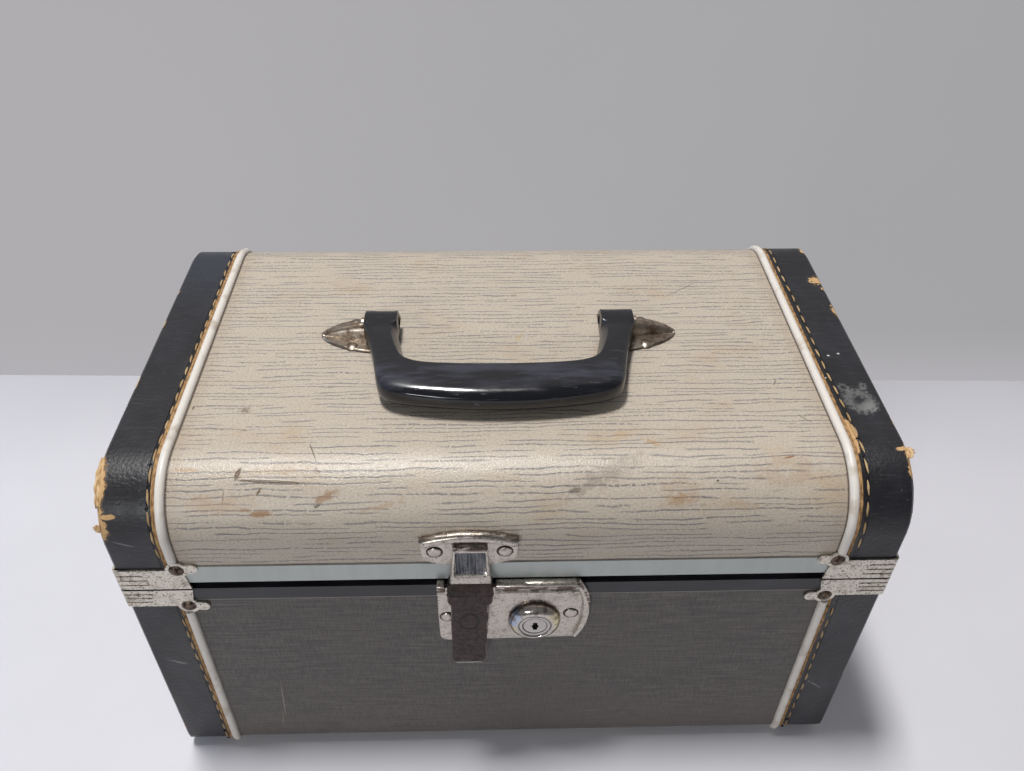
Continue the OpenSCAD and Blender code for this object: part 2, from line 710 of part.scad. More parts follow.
// Side view of the lever's plate, from its pin.
module lever_side() {
  polygon([[lever_front, lever_top], [lever_back, lever_top], [lever_back, -14],
    [lever_out + 1.5, lever_low], [lever_out, lever_low], [lever_front, -14]]);
}

// Front view of the lever, X from the middle of the catch.
module lever_face() {
  shoulder_z = -6.5;
  translate([-lever_half, lever_low + 3]) square([2 * lever_half, lever_top - lever_low - 3]);
  translate([-lever_half + 3, lever_low]) square([2 * lever_half - 6, 10]);
  for (s = [-1, 1]) translate([s * (lever_half - 3), lever_low + 3]) circle(3, $fn = 8);
  translate([-ear_half, shoulder_z + 2]) square([2 * ear_half, lever_top - shoulder_z - 2]);
  for (s = [-1, 1]) translate([s * (ear_half - 3), shoulder_z + 3]) circle(3);
}

module latch_lever() color(dark_steel) {
  difference() {
    intersection() {
      at_pin(-ear_half, ear_half) lever_side();
      translate([catch_x, 0, lever_pin_z]) rotate([90, 0, 0]) linear_extrude(2 * half_d) lever_face();
    }
    at_pin(-hook_half - 0.8, hook_half + 0.8) translate([-10, -6]) square([20, 20]);
  }
  for (s = [-1, 1]) difference() {
    at_pin(s * (ear_in + ear_half) / 2 - (ear_half - ear_in) / 2,
        s * (ear_in + ear_half) / 2 + (ear_half - ear_in) / 2) {
      circle(3.2);
      translate([lever_front + 0.4, 0]) square([1.5 - lever_front - 0.4 - 1.5 - 1.5, lever_top]);
      translate([lever_back - 0.4, -6]) square([2.2, 6]);
    }
    at_pin(-half_w, half_w) circle(lever_pin_r + run_clear);
  }
  at_pin(-claw_half, claw_half) {
    difference() {
      union() {
        circle(2.8);
        polygon([[-1, 0], [1, 0], [1, -9], [lever_back - 0.1, -9], [lever_back - 0.1, -6.2], [-1, -6.2]]);
      }
      circle(lever_pin_r + run_clear);
    }
    claw();
  }
}

// Curved claw over the catch's lip, turning about the pin, and the web that carries it.
module claw() {
  tip = 12;
  root = -40;
  polygon(concat([for (i = [0:8]) from_pin(claw_r1, root + (tip - root) * i / 8)],
    [for (i = [0:5]) from_pin(claw_r0, tip + (root + 15 - tip) * i / 5)],
    [from_pin(2.4, root + 20), from_pin(2.4, root - 10)]));
}

catch_half = 20.3;
catch_low = 14;          // lowest edge of the catch plate above the seam
catch_top = 31.5;
catch_sag = 3.4;         // how far the arched top falls at its ends
catch_bead_w = 4.8;
hood_top = 25.5;
hood_low = 3;
hood_half_top = 7.4;
hood_half_low = 8.7;
hood_out = 8.4;           // the hood's lower end, in front of the cover
hood_window = 7.6;        // lower end of the hollow in the hood's front
hook_low = 3.4;           // the hook inside the hood, above the lever's pin
hook_top = 8;
hook_lip = 1.4;
catch_rivet_x = 14.6;
catch_rivet_z = 20.5;
catch_arch_r = (catch_half * catch_half + catch_sag * catch_sag) / (2 * catch_sag);

// Front view of the catch plate, X from the middle of the catch, Z from the seam.
module catch_outline() intersection() {
  translate([0, catch_top - catch_arch_r]) circle(catch_arch_r);
  polygon([[-catch_half, catch_top], [-catch_half + 0.9, 20], [-catch_half + 2.6, 17.6],
    [-9, catch_low], [9, catch_low], [catch_half - 2.6, 17.6], [catch_half - 0.9, 20],
    [catch_half, catch_top]]);
}

// Side view of the hood, Y from the cover.
module hood_side() polygon([[0, hood_top], [-2.6, hood_top + 0.2], [-3.4, hood_top - 1.4],
  [-3.1, hood_top - 3.4], [-hood_out + 0.5, 8], [-hood_out, hood_low + 1.8], [-hood_out + 0.4, hood_low],
  [0, hood_low]]);

module catch_plate() color(nickel) translate([catch_x, -half_d, seam_z]) {
  difference() {
    union() {
      rotate([90, 0, 0]) linear_extrude(sheet_t) catch_outline();
      rotate([90, 0, 0]) linear_extrude(sheet_t + 1.1) intersection() {
        catch_outline();
        difference() {
          translate([-catch_half, 0]) square([2 * catch_half, 2 * catch_top]);
          translate([0, catch_top - catch_arch_r]) circle(catch_arch_r - catch_bead_w);
        }
      }
    }
    for (s = [-1, 1]) translate([s * catch_rivet_x, 0, catch_rivet_z]) rotate([90, 0, 0])
      cylinder(r = 1.5, h = 10, center = true);
  }
  difference() {
    intersection() {
      along_x(-hood_half_low, hood_half_low) hood_side();
      rotate([90, 0, 0]) linear_extrude(2 * hood_out) polygon([[-hood_half_low, hood_low - 1],
        [hood_half_low, hood_low - 1], [hood_half_low, hood_low + 2], [hood_half_top, hood_top - 2],
        [hood_half_top, hood_top + 1], [-hood_half_top, hood_top + 1], [-hood_half_top, hood_top - 2],
        [-hood_half_low, hood_low + 2]]);
    }
    along_x(-hood_half_low + 1.4, hood_half_low - 1.4)
      polygon([[1, 14.2], [-1, 14.2], [-hood_out + 1.8, 8], [-hood_out + 1.4, hood_low - 1], [1, hood_low - 1]]);
    translate([-2 * ear_half, -proud - 0.3, -1]) cube([4 * ear_half, 4, catch_low + 0.9]);
    along_x(-hood_half_top + 1.5, hood_half_top - 1.5)
      polygon([[-3.6, hood_top - 3.8], [-2.6, hood_top - 4.2], [-hood_out + 1.4, hood_window + 1],
        [-hood_out - 0.4, hood_window]]);
  }
  translate([0, -lever_pin_out, lever_pin_z - seam_z]) along_x(-hook_half, hook_half)
    polygon([[-3.2, hook_top], [-3.2, hook_low], [0.5, hook_low], [0.5, hook_low + hook_lip],
      [-2.2, hook_low + hook_lip], [-2.2, hook_top]]);
}

module catch_rivets() color(nickel) for (s = [-1, 1])
  translate([catch_x + s * catch_rivet_x, -half_d - sheet_t, seam_z + catch_rivet_z]) rotate([90, 0, 0])
    rivet(3.1, 1.3, 1.5 - run_clear, sheet_t);

// ---- hinges ----------------------------------------------------------------------

leaf_t = 1.2;
hinge_x = welt_x - hinge_inset;
hinge_y = face_y + knuckle_r + 0.2;
leaf_h = 22;
knuckle_w = hinge_w / 3;
hinge_rivet_z = 13;
hinge_rivet_x = 11;

// One leaf around the hinge's axis, the leaf reaching up, with knuckles between the X pairs.
module hinge_leaf(spans, bore_clear) {
  difference() {
    union() {
      translate([-hinge_w / 2, -knuckle_r - 0.2, knuckle_r + 0.6]) cube([hinge_w, leaf_t, leaf_h - knuckle_r]);
      for (x = spans) {
        along_x(x[0], x[1]) circle(knuckle_r);
        translate([x[0], -knuckle_r - 0.2, 0]) cube([x[1] - x[0], leaf_t + 0.4, knuckle_r + 0.7]);
      }
    }
    along_x(-hinge_w, hinge_w) circle(pin_r + bore_clear);
    for (s = [-1, 1]) translate([s * hinge_rivet_x, 0, hinge_rivet_z]) rotate([90, 0, 0])
      cylinder(r = 1.4, h = 20, center = true);
  }
}

module base_hinge() color(nickel) translate([0, hinge_y, seam_z]) mirror([0, 0, 1])
  hinge_leaf([[-hinge_w / 2, -knuckle_w / 2], [knuckle_w / 2, hinge_w / 2]], glue);

module lid_hinge() color(nickel) translate([0, hinge_y, seam_z])
  hinge_leaf([[-knuckle_w / 2 + 0.2, knuckle_w / 2 - 0.2]], run_clear);

module hinge_pin() color(nickel) translate([0, hinge_y, seam_z])
  along_x(-hinge_w / 2 - 0.4, hinge_w / 2 + 0.4) circle(pin_r);

module hinge_rivet_row(dir) for (sx = [-1, 1], s = [-1, 1])
  translate([sx * hinge_x + s * hinge_rivet_x, hinge_y - knuckle_r - 0.2 + leaf_t, seam_z + dir * hinge_rivet_z])
    rotate([-90, 0, 0]) rivet(2.6, 1, 1.4 - run_clear, leaf_t);

module base_hinge_rivets() color(nickel) hinge_rivet_row(-1);
module lid_hinge_rivets() color(nickel) hinge_rivet_row(1);

// ---- lid stay --------------------------------------------------------------------

shoulder_r = 3;
stay_pin_r = 1.9;
stay_head_r = 3.4;
stay_lid_rise = 12;                                     // lid rivet above the seam
stay_base_drop = 8;                                     // base rivet below the seam
stay_lid_y = hinge_y - sqrt(stay_radius * stay_radius - stay_lid_rise * stay_lid_rise);
stay_lid_z = seam_z + stay_lid_rise;
stay_base_y = hinge_y - sqrt(stay_radius * stay_radius - stay_base_drop * stay_base_drop);
stay_base_z = seam_z - stay_base_drop;
tongue_in_x = inner_x - tongue_t;
stay_x1 = tongue_in_x - 1.1;                            // outer face of the arm
stay_x0 = stay_x1 - stay_t;
stay_half = asin(stay_lid_rise / stay_radius) + asin(stay_base_drop / stay_radius);
stay_near = 2 * stay_radius * sin(stay_half / 2);       // rivet to rivet, shut
stay_far = 2 * stay_radius * sin((stay_half + lid_open) / 2);
stay_lean = atan2(stay_base_y - stay_lid_y, stay_lid_z - stay_base_z);

// Rivet with a shoulder out to the wall at x, through the arm's plane.
module stay_rivet(wall) {
  along_x(stay_x1 + 0.15, wall) circle(shoulder_r);
  along_x(stay_x0 - 0.2, stay_x1 + 0.2) circle(stay_pin_r);
  along_x(stay_x0 - 1, stay_x0 - 0.15) circle(stay_head_r);
}

module stay_lid_rivet() color(nickel) translate([0, stay_lid_y, stay_lid_z]) stay_rivet(inner_x);
module stay_base_rivet() color(nickel) translate([0, stay_base_y, stay_base_z]) stay_rivet(tongue_in_x);

module stay_arm() color(nickel) translate([0, stay_lid_y, stay_lid_z])
  rotate([stay_lean, 0, 0]) along_x(stay_x0, stay_x1) difference() {
    union() {
      circle(stay_w / 2);
      translate([-stay_w / 2, -stay_far - 2]) square([stay_w, stay_far + 2]);
      translate([0, -stay_far - 2]) circle(stay_w / 2);
    }
    circle(stay_pin_r + run_clear);
    translate([-stay_pin_r - 0.1, -stay_far]) square([2 * stay_pin_r + 0.2, stay_far - stay_near]);
    for (d = [stay_near, stay_far]) translate([0, -d]) circle(stay_pin_r + 0.1);
  }

// ---- tray ------------------------------------------------------------------------

tray_top = seam_z - 4;
tray_z = tray_top - tray_h;
ledge_w = 6;
ledge_h = 8;
ledge_half = 120;
tray_half_x = stay_x0 - 2.4;
tray_half_y = inner_y - tongue_t - 1;
tray_floor = 2.5;

module tray_ledge_front() color(satin) difference() {
  ledge_bar();
  lock_cover_block(seat_gap);
}

module tray_ledge_back() color(satin) mirror([0, 1, 0]) ledge_bar();

module ledge_bar() along_x(-ledge_half, ledge_half)
  translate([-inner_y + lining_t, tray_z - seat_gap])
    polygon([[0, 0], [ledge_w, 0], [ledge_w, -2], [1.5, -ledge_h], [0, -ledge_h]]);

module lift_out_tray() color(satin) translate([0, 0, tray_z]) difference() {
  linear_extrude(tray_h) plan(tray_half_x, tray_half_y, 8);
  translate([0, 0, tray_floor]) linear_extrude(tray_h) plan(tray_half_x - tray_t, tray_half_y - tray_t, 6);
}

// ---- mirror ----------------------------------------------------------------------

mirror_t = 2.2;
mirror_y = 0;
frame_w = 4;
mirror_z = ceiling_z - lining_t - mirror_t;

module mirror_glass() color([0.75, 0.80, 0.83]) translate([0, mirror_y, mirror_z])
  linear_extrude(mirror_t) square([mirror_w, mirror_d], center = true);

module mirror_frame() color(nickel) translate([0, mirror_y, mirror_z - 1]) difference() {
  linear_extrude(mirror_t + 1) plan(mirror_w / 2 + 1.2, mirror_d / 2 + 1.2, 2);
  translate([0, 0, 1]) linear_extrude(mirror_t + 1)
    square([mirror_w + 2 * glue, mirror_d + 2 * glue], center = true);
  translate([0, 0, -1]) linear_extrude(mirror_t + 4) plan(mirror_w / 2 - frame_w, mirror_d / 2 - frame_w, 2);
}

// ---- the case --------------------------------------------------------------------

base_shell();
base_cover();
mirror([1, 0, 0]) base_end_cap();  // base_end_cap_left
base_end_cap();  // base_end_cap_right
mirror([1, 0, 0]) base_welt();  // base_welt_left
base_welt();  // base_welt_right
base_binding();
rim_tongue();
base_lining();
mirror([1, 0, 0]) base_corner();  // base_corner_front_left
base_corner();  // base_corner_front_right
rotate([0, 0, 180]) base_corner();  // base_corner_back_left
mirror([0, 1, 0]) base_corner();  // base_corner_back_right
base_corner_rivets();
feet();
lock_plate();
lock_rivets();
lock_bezel();
lock_cover();
lever_pin();
translate([-hinge_x, 0, 0]) base_hinge();  // base_hinge_left
translate([hinge_x, 0, 0]) base_hinge();  // base_hinge_right
translate([-hinge_x, 0, 0]) hinge_pin();  // hinge_pin_left
translate([hinge_x, 0, 0]) hinge_pin();  // hinge_pin_right
base_hinge_rivets();
stay_base_rivet();
tray_ledge_front();
tray_ledge_back();
lid_shell();
lid_cover();
mirror([1, 0, 0]) lid_end_cap();  // lid_end_cap_left
lid_end_cap();  // lid_end_cap_right
mirror([1, 0, 0]) lid_welt();  // lid_welt_left
lid_welt();  // lid_welt_right
lid_trim();
lid_lining();
mirror_glass();
mirror_frame();
catch_plate();
catch_rivets();
translate([2 * handle_x, 0, 0]) mirror([1, 0, 0]) handle_bracket();  // handle_bracket_left
handle_bracket();  // handle_bracket_right
bracket_rivets();
translate([-hinge_x, 0, 0]) lid_hinge();  // lid_hinge_left
translate([hinge_x, 0, 0]) lid_hinge();  // lid_hinge_right
lid_hinge_rivets();
mirror([1, 0, 0]) lid_corner();  // lid_corner_front_left
lid_corner();  // lid_corner_front_right
rotate([0, 0, 180]) lid_corner();  // lid_corner_back_left
mirror([0, 1, 0]) lid_corner();  // lid_corner_back_right
lid_corner_rivets();
stay_lid_rivet();
handle_grip();
latch_lever();
key_plug();
lock_cam();
lock_bolt();
stay_arm();
lift_out_tray();
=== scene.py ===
"""A vintage makeup train case: a covered board box with stitched vinyl ends, metal fittings and a moulded handle."""
import math
import random

import bmesh
import bpy
from mathutils import Matrix, Vector


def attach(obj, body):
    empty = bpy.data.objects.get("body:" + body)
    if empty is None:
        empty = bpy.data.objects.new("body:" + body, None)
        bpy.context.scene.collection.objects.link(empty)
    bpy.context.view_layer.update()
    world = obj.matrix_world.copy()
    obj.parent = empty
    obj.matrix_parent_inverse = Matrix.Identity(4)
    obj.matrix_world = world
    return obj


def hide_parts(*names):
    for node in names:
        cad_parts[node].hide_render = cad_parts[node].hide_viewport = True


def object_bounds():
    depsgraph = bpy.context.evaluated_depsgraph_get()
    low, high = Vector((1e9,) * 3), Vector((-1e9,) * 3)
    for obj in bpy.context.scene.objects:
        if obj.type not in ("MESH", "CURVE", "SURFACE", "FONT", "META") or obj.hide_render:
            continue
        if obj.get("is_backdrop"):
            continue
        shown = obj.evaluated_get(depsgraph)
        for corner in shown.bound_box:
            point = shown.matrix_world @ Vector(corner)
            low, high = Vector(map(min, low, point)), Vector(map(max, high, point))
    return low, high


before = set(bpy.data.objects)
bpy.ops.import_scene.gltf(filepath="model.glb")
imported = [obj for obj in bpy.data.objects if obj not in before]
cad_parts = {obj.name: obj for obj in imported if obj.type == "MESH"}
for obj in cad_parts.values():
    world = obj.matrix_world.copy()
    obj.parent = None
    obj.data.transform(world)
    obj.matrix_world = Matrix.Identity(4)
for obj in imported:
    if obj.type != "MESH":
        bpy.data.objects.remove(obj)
cad_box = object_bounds()
scene = bpy.context.scene
scene.view_settings.view_transform = "Standard"

# ---- The table and the wall ----
# A white painted table top that the case stands on, close against a pale plastered wall.
# Neither belongs to the case.


def paint(red, green, blue):
    """A colour as it is seen, from 0 to 255, as the linear values that a shader takes."""
    return tuple((((c / 255) + 0.055) / 1.055) ** 2.4 if c > 10 else c / 255 / 12.92
                 for c in (red, green, blue)) + (1.0,)


class Pattern:
    """A value that differs over a surface. Arithmetic with it adds Math nodes to its finish."""

    def __init__(self, finish, socket):
        self.finish, self.socket = finish, socket

    def __add__(self, other):
        return self.finish.sum("ADD", self, other)

    def __sub__(self, other):
        return self.finish.sum("SUBTRACT", self, other)

    def __rsub__(self, other):
        return self.finish.sum("SUBTRACT", other, self)

    def __mul__(self, other):
        return self.finish.sum("MULTIPLY", self, other)

    def __truediv__(self, other):
        return self.finish.sum("DIVIDE", self, other)

    def __abs__(self):
        return self.finish.sum("ABSOLUTE", self)

    __radd__, __rmul__ = __add__, __mul__


class Finish:
    """A material. Its calls add nodes to it and return patterns, and places are in millimetres."""

    def __init__(self, name, colour, roughness, metallic=0.0, **shader):
        self.material = bpy.data.materials.new(name)
        self.material.use_nodes = True
        self.tree = self.material.node_tree
        self.shader = self.tree.nodes["Principled BSDF"]
        for socket, value in {"Base_Color": colour, "Roughness": roughness, "Metallic": metallic, **shader}.items():
            self.set(socket.replace("_", " "), value)
        place = self.pattern("TexCoord", output="Object")
        self.place = self.pattern("VectorMath", operation="SCALE", Vector=place, Scale=1000.0)
        ways = self.add("SeparateXYZ", Vector=self.place).outputs
        self.x, self.y, self.z = (Pattern(self, way) for way in ways)

    def fill(self, socket, value):
        if isinstance(value, Pattern):
            value = value.socket
        if isinstance(value, bpy.types.NodeSocket):
            self.tree.links.new(value, socket)
        elif socket.type == "RGBA":
            socket.default_value = paint(*value)
        else:
            socket.default_value = value

    def set(self, name, value):
        """Put a constant or a pattern into one of the shader's own inputs."""
        self.fill(self.shader.inputs[name], value)

    def given(self, name):
        """What one of the shader's inputs is linked to so far."""
        return self.shader.inputs[name].links[0].from_socket

    def add(self, kind, *inputs, **named):
        node = self.tree.nodes.new("ShaderNode" + kind)
        for key, value in list(named.items()):
            if key in node.inputs.keys():
                continue
            setattr(node, key, named.pop(key))
        for key, value in named.items():
            self.fill(node.inputs[key], value)
        for socket, value in zip(node.inputs, inputs):
            self.fill(socket, value)
        return node

    def pattern(self, kind, *inputs, output=0, **named):
        return Pattern(self, self.add(kind, *inputs, **named).outputs[output])

    def sum(self, operation, *values):
        return self.pattern("Math", *values, operation=operation)

    def most(self, *values):
        return self.sum("MAXIMUM", *values)

    def away(self, x, z):
        """The distance from an axis that points at the front."""
        off_x, off_z = self.x - x, self.z - z
        return self.sum("SQRT", off_x * off_x + off_z * off_z)

    def noise(self, size, detail=2.0, place=None, rough=0.5):
        """Soft noise from 0 to 1. The size is in mm, one number or one for each axis."""
        shares = tuple(1.0 / s for s in (size if isinstance(size, tuple) else (size,) * 3))
        stretched = self.pattern("VectorMath", place or self.place, shares, operation="MULTIPLY")
        return self.pattern("TexNoise", Vector=stretched, Scale=1.0, Detail=detail, Roughness=rough)

    def ramp(self, value, start, end, low=0.0, high=1.0):
        """A smooth step from low to high as the value goes from start to end."""
        return self.pattern("MapRange", value, start, end, low, high, interpolation_type="SMOOTHSTEP")

    def mix(self, share, first, second):
        node = self.add("Mix", data_type="RGBA")
        for socket, value in zip((node.inputs[0], node.inputs[6], node.inputs[7]), (share, first, second)):
            self.fill(socket, value)
        return node.outputs[2]

    def lay(self, share, colour):
        """Lay a colour over the base colour that is there so far."""
        self.set("Base Color", self.mix(share, self.given("Base Color"), colour))

    def bump(self, height, depth):
        """Relief of that depth in mm, laid over the relief already there."""
        node = self.add("Bump", Height=height, Distance=depth / 1000, Strength=1.0)
        if self.shader.inputs["Normal"].is_linked:
            self.tree.links.new(self.given("Normal"), node.inputs["Normal"])
        self.set("Normal", node.outputs[0])

    def dress(self, *names):
        """Give this finish to CAD nodes by name, or to new pieces."""
        for name in names:
            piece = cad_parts[name] if isinstance(name, str) else name
            if not piece.material_slots:
                piece.data.materials.append(self.material)
            for slot in piece.material_slots:
                slot.material = self.material


def ready():
    """Out of edit mode with nothing selected."""
    if bpy.context.mode != "OBJECT":
        bpy.ops.object.mode_set(mode="OBJECT")
    bpy.ops.object.select_all(action="DESELECT")


def made(name):
    """The object that was just added, named and at rest in the row's own frame."""
    piece = bpy.context.object
    piece.name = piece.data.name = name
    bpy.ops.object.transform_apply(location=True, rotation=True, scale=True)
    return piece


ready()
bpy.ops.mesh.primitive_plane_add(size=8, location=(0, 0, 0))
table = made("table_top")
table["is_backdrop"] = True
table_paint = Finish("table_paint", (222, 221, 226), 0.45)
looked_at = table_paint.add("LightPath").outputs
looked_at = table_paint.most(looked_at["Is Camera Ray"], looked_at["Is Glossy Ray"])
table_tone = table_paint.mix(table_paint.noise(90.0, 4.0), (212, 211, 217), (220, 219, 225))
table_paint.set("Base Color", table_paint.mix(looked_at, (190, 189, 192), table_tone))
table_paint.dress(table)

WALL_LEFT = Vector((-0.3873, 0.2066, 0))
WALL_RIGHT = Vector((0.4105, 0.1869, 0))
ready()
bpy.ops.mesh.primitive_plane_add(size=1, rotation=(math.pi / 2, 0, 0))
wall = bpy.context.object
along = (WALL_RIGHT - WALL_LEFT).normalized()
wall.data.transform(Matrix.Translation((0, 0.5, 0)))
wall.rotation_euler = (math.pi / 2, 0, math.atan2(along.y, along.x))
wall.location = (WALL_LEFT + WALL_RIGHT) / 2
wall.scale = (6, 1.2, 1)
wall = made("plaster_wall")
wall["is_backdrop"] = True
plaster = Finish("plaster", (190, 188, 191), 0.7)
grubby = plaster.noise(160.0, 3.0)
# The wall's painted light: lighter at the left than at the right, and lighter near the table.
sheen = plaster.mix(plaster.ramp(plaster.x, -450.0, 450.0), plaster.mix(grubby, (174, 172, 174), (178, 176, 179)),
                    plaster.mix(grubby, (161, 160, 162), (166, 165, 168)))
sheen = plaster.mix(plaster.ramp(plaster.z, 60.0, -10.0), sheen, (178, 176, 180))
# Where it is seen, the wall glows with painted light, lighter at the left and low down; from behind it is open, so
# that the case shows.
glow = plaster.pattern("Emission", Color=sheen, Strength=1.0)
way = plaster.add("LightPath").outputs
seen = plaster.most(way["Is Camera Ray"], way["Is Glossy Ray"])
seen = plaster.most(seen, way["Is Transmission Ray"])
front = plaster.pattern("MixShader", seen, plaster.shader.outputs[0], glow)
open_side = plaster.pattern("BsdfTransparent")
sides = plaster.add("MixShader", plaster.pattern("NewGeometry", output="Backfacing"), front, open_side)
plaster.tree.links.new(sides.outputs[0], plaster.tree.nodes["Material Output"].inputs["Surface"])
plaster.dress(wall)

# ---- Camera and lamps ----
# The view from above the front. Soft room light falls from above and comes in a little from the front left,
# with a low cool light from the left.

CAMERA_PLACE = Vector((-0.0086, -0.3361, 0.4454))
CAMERA_DOWN = 40.36
CAMERA_YAW = 2.02
CAMERA_ROLL = 0.73
FOCAL_PIXELS = 890.6
camera_data = bpy.data.cameras.new("camera")
camera_data.sensor_width = 36
camera_data.lens = FOCAL_PIXELS / 1024 * camera_data.sensor_width
camera = bpy.data.objects.new("camera", camera_data)
scene.collection.objects.link(camera)
camera.matrix_world = (Matrix.Translation(CAMERA_PLACE)
                       @ Matrix.Rotation(math.radians(-CAMERA_YAW), 4, "Z")
                       @ Matrix.Rotation(math.radians(90 - CAMERA_DOWN), 4, "X")
                       @ Matrix.Rotation(math.radians(CAMERA_ROLL), 4, "Z"))
scene.camera = camera


def lamp(name, place, target, width, height, power, colour):
    data = bpy.data.lights.new(name, "AREA")
    data.shape = "RECTANGLE"
    data.size, data.size_y = width, height
    data.energy = power
    data.color = colour
    light = bpy.data.objects.new(name, data)
    light.location = place
    light.rotation_euler = (Vector(target) - Vector(place)).to_track_quat("-Z", "Y").to_euler()
    scene.collection.objects.link(light)


lamp("ceiling_lamp", (-0.36, 0.1, 2.6), (0, 0, 0.1), 0.5, 0.3, 56, (1.0, 0.99, 0.97))
lamp("front_window", (-0.6, -1.5, 0.75), (0, 0, 0.15), 0.34, 0.1, 6.0, (0.96, 0.98, 1.0))
world = bpy.data.worlds.new("room")
world.use_nodes = True
world.node_tree.nodes["Background"].inputs["Color"].default_value = paint(236, 238, 244)
world.node_tree.nodes["Background"].inputs["Strength"].default_value = 0.16
scene.world = world

lamp("side_window", (-1.5, 0.1, 0.42), (0, 0, 0.15), 0.3, 0.5, 2.2, (0.42, 0.66, 1.0))

# ---- The box boards ----
# Grey-brown fibreboard, bent round the corners, stapled and glued into two open boxes.
# It only shows at the rims and on the ledges that carry the tray.

board = Finish("fibreboard", (118, 96, 74), 0.85)
board.set("Base Color", board.mix(board.noise(1.2, 4.0), (92, 74, 57), (134, 112, 88)))
board.bump(board.noise(0.5, 3.0), 0.15)
board.dress("base_shell", "lid_shell", "tray_ledge_front", "tray_ledge_back")

# ---- The lid's cover ----
# Cream coated paper, glued over the board and printed with broken grey-blue threads.
# It is rubbed, scratched and stained along the front edge.

# An outline over the case: where its flat face ends, from the middle; the radius of its turn; the height
# where the turn ends; and 1 for a face on top or -1 for one below.
LID_SHAPE = (71.0, 28.0, 160.3, 1)


def unrolled(finish, shape):
    """A covering's own flat sheet: the distance over the case from its middle line, and the depth inside it."""
    flat, turn, spring, way = shape
    reach = abs(finish.y)
    rise = finish.z * way - way * spring
    beyond = finish.most(reach - flat, 0.0)
    above = finish.most(rise, 0.0)
    bent = finish.sum("ARCTAN2", beyond, above) * turn
    over = finish.sum("MINIMUM", reach, flat) + bent + finish.most(rise * -1.0, 0.0)
    over = over * finish.sum("SIGN", finish.y)
    corner = finish.pattern("CombineXYZ", beyond, above, 0.0)
    out = finish.pattern("VectorMath", corner, operation="LENGTH", output="Value")
    return over, finish.most(turn + 0.4 - out, 0.0)


cream = Finish("cream_cover_paper", (196, 182, 165), 0.42)
across, _ = unrolled(cream, LID_SHAPE)
sheet = cream.pattern("CombineXYZ", cream.x, across, 0.0)

THREAD_PITCH = 2.7
sway = cream.noise((46.0, 9.0, 1.0), 1.0, sheet) * 4.4 + across
sway = cream.noise((8.0, 5.0, 1.0), 2.0, sheet) * 1.5 + sway
row = sway / THREAD_PITCH
row_name = cream.sum("FLOOR", row)
own = cream.pattern("TexWhiteNoise", noise_dimensions="1D", W=row_name)
offset = own * 0.44 - 0.22
off_line = abs(cream.sum("FRACT", row) - 0.5 + offset)
along_row = cream.pattern("CombineXYZ", cream.x, row_name * 71.3, 0.0)
run = cream.ramp(cream.noise((26.0, 20.0, 1.0), 1.0, along_row), 0.40, 0.47)
dots = cream.ramp(cream.noise((1.5, 20.0, 1.0), 1.0, along_row), 0.30, 0.48)
worn = cream.ramp(cream.noise((60.0, 30.0, 1.0), 2.0, sheet), 0.38, 0.62)
dots = cream.most(dots, worn * 0.85)
thick = cream.noise((5.0, 20.0, 1.0), 1.0, along_row) * 0.13 + 0.075
thread = cream.ramp(off_line / thick, 1.2, 0.55)
thread = thread * run * dots
depth_of_print = cream.noise((30.0, 20.0, 1.0), 1.0, along_row) * 0.7 + 0.35
thread = thread * cream.sum("MINIMUM", depth_of_print, 1.0)

canvas = cream.noise((1.1, 0.8, 1.0), 3.0, sheet)
cream.set("Base Color", cream.mix(cream.ramp(canvas, 0.3, 0.7), (180, 168, 153), (197, 186, 171)))
grime = cream.ramp(cream.noise((34.0, 26.0, 1.0), 5.0, sheet, 0.6), 0.52, 0.78)
cream.lay(grime * 0.5, (178, 148, 108))


def mark(finish, sheet, place, half, angle, ragged=0.8, size=4.0, ring=0.0):
    """A mark on a sheet, as a share from 0 to 1: an oval of those half sizes with a ragged rim, or only its rim."""
    there = finish.pattern("Mapping", vector_type="TEXTURE", Vector=sheet, Location=(*place, 0),
                           Rotation=(0, 0, math.radians(angle)), Scale=(*half, 1))
    far = finish.pattern("VectorMath", there, operation="LENGTH", output="Value")
    rough = finish.noise(size, 4.0, sheet) * ragged * 2 + far
    inside = finish.ramp(rough, 1.0 + ragged * 1.1, 0.7 + ragged * 0.6)
    if not ring:
        return inside
    hollow = finish.ramp(rough, 1.0 + ragged * 1.1 - ring, 0.7 + ragged * 0.6 - ring)
    return inside - hollow
